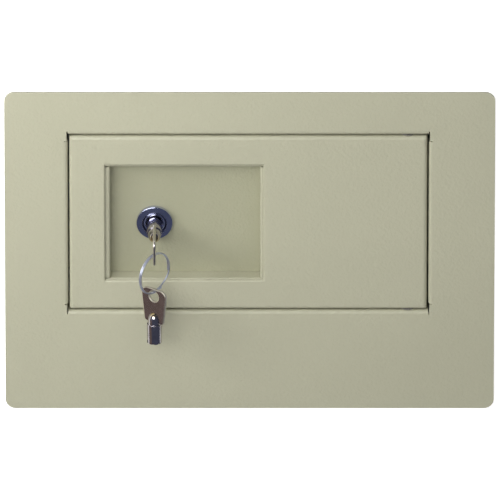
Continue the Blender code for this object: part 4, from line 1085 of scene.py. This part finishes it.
# The door turns on two headed steel pins. Each goes through a bar behind the plate's flange,
# a nylon washer in the gap and a block inside the door.
BAR_ROUNDING = 0.0004
PIN_CHAMFER = 0.0004
PIN_PLAY = 0.0002


def mould_group():
    """Moulded rubber or plastic: a fine satin speckle."""
    group, given, out = surface_group("moulded", ["Colour", "Shade"], ["Roughness Low", "Roughness High"])
    speckle = grain(group, object_place(group), scale=1500.0)
    feed(group, out, {
        "Colour": blend_colours(group, spread(group, speckle, 0.0, 1.0), given["Colour"], given["Shade"]),
        "Roughness": spread(group, speckle, given["Roughness Low"], given["Roughness High"]),
        "Height": speckle})
    return group


moulded = mould_group()
nylon = finish("hinge_nylon", moulded, bump=0.00001, colour=(0.270, 0.264, 0.235),
               shade=(0.110, 0.107, 0.095), roughness_low=0.4, roughness_high=0.55)
for side, up in (("top", 1), ("bottom", -1)):
    for node, body, name in (("pivot_plate_", "frame", "plated_pivot_bar_"),
                             ("hinge_block_", "door", "plated_hinge_block_")):
        low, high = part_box(node + side)
        bar = piece_of(name + side, add_block(bmesh.new(), low, high))
        carve(bar, rods((PIN_HOLE, low.z - WALL, high.z + WALL, hinge_line, 40)))
        ease_edges(bar, BAR_ROUNDING, steps=3)
        place_piece(bar, zinc, body, "zinc_steel", node + side)
    low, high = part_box("hinge_pin_" + side)
    head = (high.x - low.x) / 2
    shank = PIN_HOLE / 2 - PIN_PLAY
    inner, outer = (low.z, high.z)[::up]
    seat = node_span("pivot_plate_" + side, 2)[up > 0] + up * SEAT_GAP
    pin = turned(eased([(0, inner), (shank, inner), (shank, seat), (head, seat), (head, outer), (0, outer)],
                       PIN_CHAMFER), hinge_line, sides=48)
    place_piece(piece_of("plated_hinge_pin_" + side, pin, CREASE), zinc, "frame", "zinc_steel",
                "hinge_pin_" + side)
    low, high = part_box("hinge_washer_" + side)
    ring = tube(PIN_HOLE / 2, (high.x - low.x) / 2, low.z, high.z, WASHER_EASING, hinge_line, sides=48)
    place_piece(piece_of("nylon_washer_" + side, ring, CREASE), nylon, "frame", "nylon",
                "hinge_washer_" + side)

# Behind the plate's left flange stand a strike, which the cam swings behind, and two stops
# with rubber buffers that the closed door rests on. They are bent from plated strip.
STRIP_THICKNESS = 0.0020
STRIP_BEND = 0.0026
STRIP_EDGE = 0.0003
INSIDE_BEND = 0.0008
BUFFER_SIDE = 0.0005
BUFFER_DOME = 0.7

rubber = finish("buffer_rubber", moulded, bump=0.00003, colour=(0.035, 0.035, 0.036),
                shade=(0.018, 0.018, 0.019), roughness_low=0.62, roughness_high=0.8)


def bent_strip(name, node):
    """Make an angle of plated strip that fills a node's box: a leg back, then a tongue."""
    low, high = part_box(node)
    inside_x = low.x + STRIP_THICKNESS
    inside_y = high.y - STRIP_THICKNESS
    outer = eased([(low.x, low.y), (low.x, high.y), (high.x, high.y)], STRIP_BEND, steps=8)
    inner = eased([(inside_x, low.y), (inside_x, inside_y), (high.x, inside_y)], INSIDE_BEND, steps=8)
    strip = piece_of(name, add_prism(bmesh.new(), outer + inner[::-1], low.z, high.z, Matrix.Identity(4)))
    ease_edges(strip, STRIP_EDGE, steps=3)
    place_piece(strip, zinc, "frame", "zinc_steel", node)


bent_strip("plated_strike", "strike_angle")
for side in ("top", "bottom"):
    bent_strip("plated_stop_" + side, "door_stop_" + side)
    node = "door_bumper_" + side
    low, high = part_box(node)
    radius = (high.x - low.x) / 2
    base = low.y + BUFFER_SIDE
    dome = [(radius * math.cos(a) ** BUFFER_DOME, base + (high.y - base) * math.sin(a))
            for a in quarter(8)[1:-1]]
    buffer_bm = turned([(0, low.y), (radius, low.y), (radius, base)] + dome + [(0, high.y)],
                       line_through(node), sides=40)
    place_piece(piece_of("rubber_buffer_" + side, buffer_bm, CREASE), rubber, "frame", "rubber", node)

# A cut felt mat lies on the body's floor. Its corners are rounded and its surface is a
# little uneven.
MAT_CORNER = 0.0050
MAT_GRID = 0.0045
MAT_SAG = 0.00035
MAT_WAVES = 28
MAT_ROUNDING = 0.0005


def felt_group():
    """Pressed felt: tangled fibres, lighter lint and soft wear."""
    group, given, out = surface_group("pressed_felt", ["Colour", "Lint"], ["Fibre Scale"])
    warp = grain(group, object_place(group), scale=900.0, detail=3.0)
    fibres = [grain(group, object_place(group, stretch), given["Fibre Scale"], detail=3.0, roughness=0.7)
              for stretch in ((1.0, 0.25, 1.0), (0.25, 1.0, 1.0))]
    tangle = sum_of(group, *fibres, "MAXIMUM")
    fluff = sum_of(group, tangle, sum_of(group, warp, 0.2, "MULTIPLY"))
    lint = spread(group, fluff, 0.0, 1.0, span=(0.55, 0.9))
    feed(group, out, {"Colour": blend_colours(group, lint, given["Colour"], given["Lint"]),
                      "Roughness": spread(group, warp, 0.85, 1.0), "Height": tangle})
    return group


felt = finish("charcoal_felt", felt_group(), bump=0.0002, colour=(0.022, 0.022, 0.025),
              lint=(0.085, 0.085, 0.092), fibre_scale=2400.0,
              sockets={"Sheen Weight": 0.35, "Sheen Roughness": 0.5})
mat_low, mat_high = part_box("interior_mat")
mat_bm = bmesh.new()
bmesh.ops.create_grid(mat_bm, x_segments=int((mat_high.x - mat_low.x) / MAT_GRID),
                      y_segments=int((mat_high.y - mat_low.y) / MAT_GRID), size=0.5)
for vert in mat_bm.verts:
    place = []
    over = []
    for low, high, along in ((mat_low.x, mat_high.x, vert.co.x), (mat_low.y, mat_high.y, vert.co.y)):
        place.append(low + (along + 0.5) * (high - low))
        beyond = max(abs(place[-1] - (low + high) / 2) - (high - low) / 2 + MAT_CORNER, 0)
        over.append(math.copysign(beyond, along))
    beyond = math.hypot(*over)
    pull = max(beyond - MAT_CORNER, 0) / max(beyond, MAT_CORNER)
    x = place[0] - over[0] * pull
    y = place[1] - over[1] * pull
    sag = MAT_SAG * (0.5 + 0.5 * noise.noise(Vector((x * MAT_WAVES, y * MAT_WAVES, 0))))
    vert.co = (x, y, mat_high.z - sag)
mat = sheet_piece("felt_mat", mat_bm, mat_high.z - mat_low.z - MAT_SAG, (0, 0, 1))
ease_edges(mat, MAT_ROUNDING, steps=3)
place_piece(mat, felt, "frame", "felt", "interior_mat")

# Both keys are tubular: a turned and milled barrel with a slotted, bullet-shaped neck, which
# is staked round the foot of a flat, blanked bow. They are bright nickel plate, rubbed through
# to the brass where the neck is staked. The bows' sheared edges are duller, and their lighter,
# warmer colour is a painted highlight.
KEY_LENGTH = 0.0375
KEY_BARREL = 0.0095
KEY_BORE = 0.0075
KEY_EASING = 0.0005
BARREL_LENGTH = 0.0135
BARREL_FLOOR = 0.0005
NECK_DIAMETER = 0.0080
NECK_HEIGHT = 0.0072
NECK_DOME = 0.78
RUBBED_AT = 0.76
RUBBED_REACH = 0.0016
RUBBED_RAGGED = 0.0006
TANG_WIDTH = 0.0060
TANG_LENGTH = 0.0030
BOW_END_WIDTH = 0.0190
BOW_SHOULDER_WIDTH = 0.0150
BOW_THICKNESS = 0.0018
BOW_ROUNDING = 0.00068
BOW_ROUNDED_FROM = 50
BOW_EDGE_FACING = 0.5
BOW_CORNER = 0.0045
BOW_SHOULDER_CORNER = 0.0023
BOW_HOLE = 0.0070
BOW_HOLE_FROM_END = 0.0052
KEY_INSERTION = 0.0030
KEY_DROOP = math.radians(8)
KEY_PLAY = 0.0002
SPARE_TWIST = math.radians(36.6)
BITTING = (0.0011, 0.0019, 0.0007, 0.0023, 0.0014, 0.0009, 0.0020)
BITTING_RADIUS = 0.00075
BITTING_START = -0.001
BITTING_POINT = 0.0005
NICKEL = (0.58, 0.55, 0.58)
NICKEL_SHADE = (0.45, 0.42, 0.45)
BOW_EDGE_PAINTED_HIGHLIGHT = (0.82, 0.78, 0.66)
BOW_EDGE_PAINTED_HIGHLIGHT_SHADE = (0.66, 0.61, 0.50)
WORN_BRASS = (0.56, 0.45, 0.25)


def rubbed_group():
    """A mask that is 1 near a place on the piece, where its plating is rubbed through."""
    group, given, out = surface_group("rubbed_through", ["Plate", "Bare"], ["Height", "Reach"], [])
    place = group.nodes.new("ShaderNodeTexCoord").outputs["Object"]
    along = wired(group, "SeparateXYZ", {"Vector": place}, "Y")
    ragged = spread(group, grain(group, place, scale=1500.0), -RUBBED_RAGGED, RUBBED_RAGGED)
    level = sum_of(group, sum_of(group, along, given["Height"], "SUBTRACT"), ragged)
    share = sum_of(group, sum_of(group, level, given["Reach"], "DIVIDE"), 0.5)
    bare = wired(group, "Clamp", {"Value": share})
    feed(group, out, {"Colour": blend_colours(group, bare, given["Plate"], given["Bare"])})
    return group


nickel = finish("key_nickel", polished, bump=0.00006, metallic=1.0, colour=NICKEL, shade=NICKEL_SHADE,
                haze_low=0.10, haze_high=0.22, ripple_scale=260.0)
barrel_nickel = finish("barrel_nickel", polished, bump=0.00005, metallic=1.0, colour=NICKEL,
                       shade=NICKEL_SHADE, haze_low=0.10, haze_high=0.20, ripple_scale=300.0)
bow_edge_painted_highlight = finish("bow_edge_painted_highlight", polished, bump=0.00006, metallic=1.0, colour=BOW_EDGE_PAINTED_HIGHLIGHT,
                        shade=BOW_EDGE_PAINTED_HIGHLIGHT_SHADE, haze_low=0.36, haze_high=0.52, ripple_scale=900.0)
barrel_tree = barrel_nickel.node_tree
rubbed = barrel_tree.nodes.new("ShaderNodeGroup")
rubbed.node_tree = rubbed_group()
barrel_shader = barrel_tree.nodes["Principled BSDF"]
feed(barrel_tree, rubbed, {"Plate": barrel_shader.inputs["Base Color"].links[0].from_socket,
                           "Bare": WORN_BRASS, "Reach": RUBBED_REACH,
                           "Height": BARREL_LENGTH + RUBBED_AT * NECK_HEIGHT})
feed(barrel_tree, barrel_shader, {"Base Color": rubbed.outputs["Colour"]})


def bow_outline():
    """Return the flat bow's outline: x across, y along from the barrel's end."""
    tang = TANG_WIDTH / 2
    shoulder = BOW_SHOULDER_WIDTH / 2 - BOW_SHOULDER_CORNER
    shoulder_y = BARREL_LENGTH + BOW_SHOULDER_CORNER
    corner = BOW_END_WIDTH / 2 - BOW_CORNER
    corner_y = KEY_LENGTH - BOW_CORNER
    right = [(tang, BARREL_LENGTH - TANG_LENGTH), (tang, BARREL_LENGTH)]
    right += [(shoulder + BOW_SHOULDER_CORNER * math.cos(a - math.pi / 2),
               shoulder_y + BOW_SHOULDER_CORNER * math.sin(a - math.pi / 2)) for a in quarter(8)]
    right += [(corner + BOW_CORNER * math.cos(a), corner_y + BOW_CORNER * math.sin(a)) for a in quarter(12)]
    return right + [(-x, y) for x, y in reversed(right)]


def make_bow(name, matrix):
    """Make a key's bow, whose edges have a material slot of their own."""
    half = BOW_THICKNESS / 2
    flat = Matrix.Identity(4)
    bow = piece_of(name, add_prism(bmesh.new(), bow_outline(), -half, half, flat))
    hole_place = Matrix.Translation((0, KEY_LENGTH - BOW_HOLE_FROM_END, 0))
    carve(bow, rods((BOW_HOLE, -BOW_THICKNESS, BOW_THICKNESS, hole_place, 64)))
    # The edge faces and their rounding take the second material, a lighter, warmer painted highlight.
    for face in bow.data.polygons:
        face.material_index = int(abs(face.normal.z) < BOW_EDGE_FACING)
    ease_edges(bow, BOW_ROUNDING, steps=5, angle=BOW_ROUNDED_FROM)
    bow.modifiers["eased edges"].material = 1
    bow.matrix_world = matrix
    return bow


def make_barrel(name, matrix):
    """Make a key's barrel: a bored tube and a domed neck, with a slot for the bow's foot."""
    outer = KEY_BARREL / 2
    bore = KEY_BORE / 2
    neck = NECK_DIAMETER / 2
    end = BARREL_LENGTH - SEAT_GAP
    slot_floor = BARREL_LENGTH - TANG_LENGTH - SEAT_GAP
    dome = NECK_DOME * NECK_HEIGHT
    straight = BARREL_LENGTH + NECK_HEIGHT - dome
    profile = eased([(0, slot_floor - BARREL_FLOOR), (bore, slot_floor - BARREL_FLOOR), (bore, 0),
                     (outer, 0), (outer, end), (neck, end), (neck, straight)], KEY_EASING, steps=4)
    profile += [(neck * math.cos(a), straight + dome * math.sin(a)) for a in quarter(12)[1:-1]]
    turn = Matrix.Rotation(-math.pi / 2, 4, "X")
    barrel = piece_of(name, turned(profile + [(0, straight + dome)], turn, sides=72))
    slot = BOW_THICKNESS / 2 + SEAT_GAP / 3
    side = TANG_WIDTH / 2 + SEAT_GAP / 3
    above = 2 * BARREL_LENGTH
    right = [(side, slot_floor), (side, end), (above, end), (above, above)]
    slot_outline = [(-side, slot_floor)] + right + [(-x, z) for x, z in right[:0:-1]]
    carve(barrel, add_prism(bmesh.new(), slot_outline, -slot, slot, Matrix.Identity(4)))
    cuts = bmesh.new()
    for depth, (x, y) in zip(BITTING, circle(outer, len(BITTING), math.pi / 2)):
        cut = [(0, BITTING_START), (BITTING_RADIUS, BITTING_START), (BITTING_RADIUS, depth),
               (0, depth + BITTING_POINT)]
        add_turned(cuts, cut, turn @ Matrix.Translation((x, y, 0)), sides=20)
    carve(barrel, cuts, crease=CREASE)
    barrel.matrix_world = matrix
    return barrel


key_axis = Vector((0, -math.cos(KEY_DROOP), -math.sin(KEY_DROOP)))
key_across = Vector((1, 0, 0))
key_start = lock_axis - Vector((0, 0, KEY_PLAY)) - key_axis * KEY_INSERTION
spare_hole = joint_place("spare_key_swing")
spare_axis = Vector((0, 0, 1))
spare_across = Vector((math.cos(SPARE_TWIST), -math.sin(SPARE_TWIST), 0))
spare_start = spare_hole - spare_axis * (KEY_LENGTH - BOW_HOLE_FROM_END)
for body, flat_side, axis, normal, start in (
        ("lock_key", key_axis.cross(key_across), key_axis, key_across, key_start),
        ("spare_key", spare_across, spare_axis, spare_across.cross(spare_axis), spare_start)):
    key_matrix = Matrix((flat_side, axis, normal)).transposed().to_4x4()
    key_matrix.translation = start
    bow = make_bow("nickel_%s_bow" % body, key_matrix)
    place_piece(bow, nickel, body, "key_nickel", body + "_bow")
    bow.data.materials.append(bow_edge_painted_highlight)
    place_piece(make_barrel("nickel_%s_barrel" % body, key_matrix), barrel_nickel, body, "key_nickel",
                body + "_barrel")

# The split ring is one thin, hardened steel wire wound nearly twice, which steps across from
# one turn to the other once. Its ends are ground round.
RING_RADIUS = 0.0132
RING_WIRE = 0.0010
RING_PITCH = 0.00105
RING_YAW = math.radians(48.5)
RING_RAMP = math.radians(50)
RING_RAMP_START = math.radians(-62)
RING_STEPS = 288
RING_SIDES = 16
RING_END_STEPS = 5
RING_LOOK = 0.01

ring_low, ring_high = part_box("key_ring")
ring_centre = Vector((lock_axis.x, spare_hole.y, (ring_low.z + ring_high.z) / 2))
ring_normal = Vector((math.sin(RING_YAW), -math.cos(RING_YAW), 0))
ring_level = Vector((math.cos(RING_YAW), math.sin(RING_YAW), 0))


def ring_place(travel):
    """Return a place on the wound wire, by how far it has turned from its end."""
    step = min(1, max(0, (travel - (2 * math.pi - RING_RAMP)) / RING_RAMP))
    side = RING_PITCH * (step * step * (3 - 2 * step) - 0.5)
    angle = RING_RAMP_START + RING_RAMP + travel
    return (ring_centre + ring_level * (RING_RADIUS * math.cos(angle))
            + Vector((0, 0, RING_RADIUS * math.sin(angle))) + ring_normal * side)


ring_sweep = 4 * math.pi - RING_RAMP
cap = RING_WIRE / 2 / RING_RADIUS
caps = [(cap * (1 - math.cos(a)), math.sin(a)) for a in quarter(RING_END_STEPS)[1:-1]]
travels = [(ring_sweep * k / RING_STEPS, 1.0) for k in range(RING_STEPS + 1)]
travels = caps + [t for t in travels if cap < t[0] < ring_sweep - cap]
travels += [(ring_sweep - travel, width) for travel, width in reversed(caps)]
ring_rows = []
for travel, width in travels:
    place = ring_place(travel)
    tangent = (ring_place(travel + RING_LOOK) - ring_place(travel - RING_LOOK)).normalized()
    across = tangent.cross((place - ring_centre).normalized()).normalized()
    outward = across.cross(tangent)
    ring_rows.append([place + outward * x + across * y for x, y in circle(RING_WIRE / 2 * width, RING_SIDES)])
# The wire's light, bluish colour is partly painted reflection: a sheen that keeps the ring evenly light.
ring_steel = finish("ring_steel", polished, bump=0.00002, metallic=1.0, colour=(0.74, 0.77, 0.88),
                    shade=(0.62, 0.65, 0.77), haze_low=0.36, haze_high=0.48, ripple_scale=500.0)
place_piece(piece_of("wound_ring", add_bar(bmesh.new(), ring_rows), crease=60), ring_steel, "key_ring",
            "ring_steel", "key_ring")
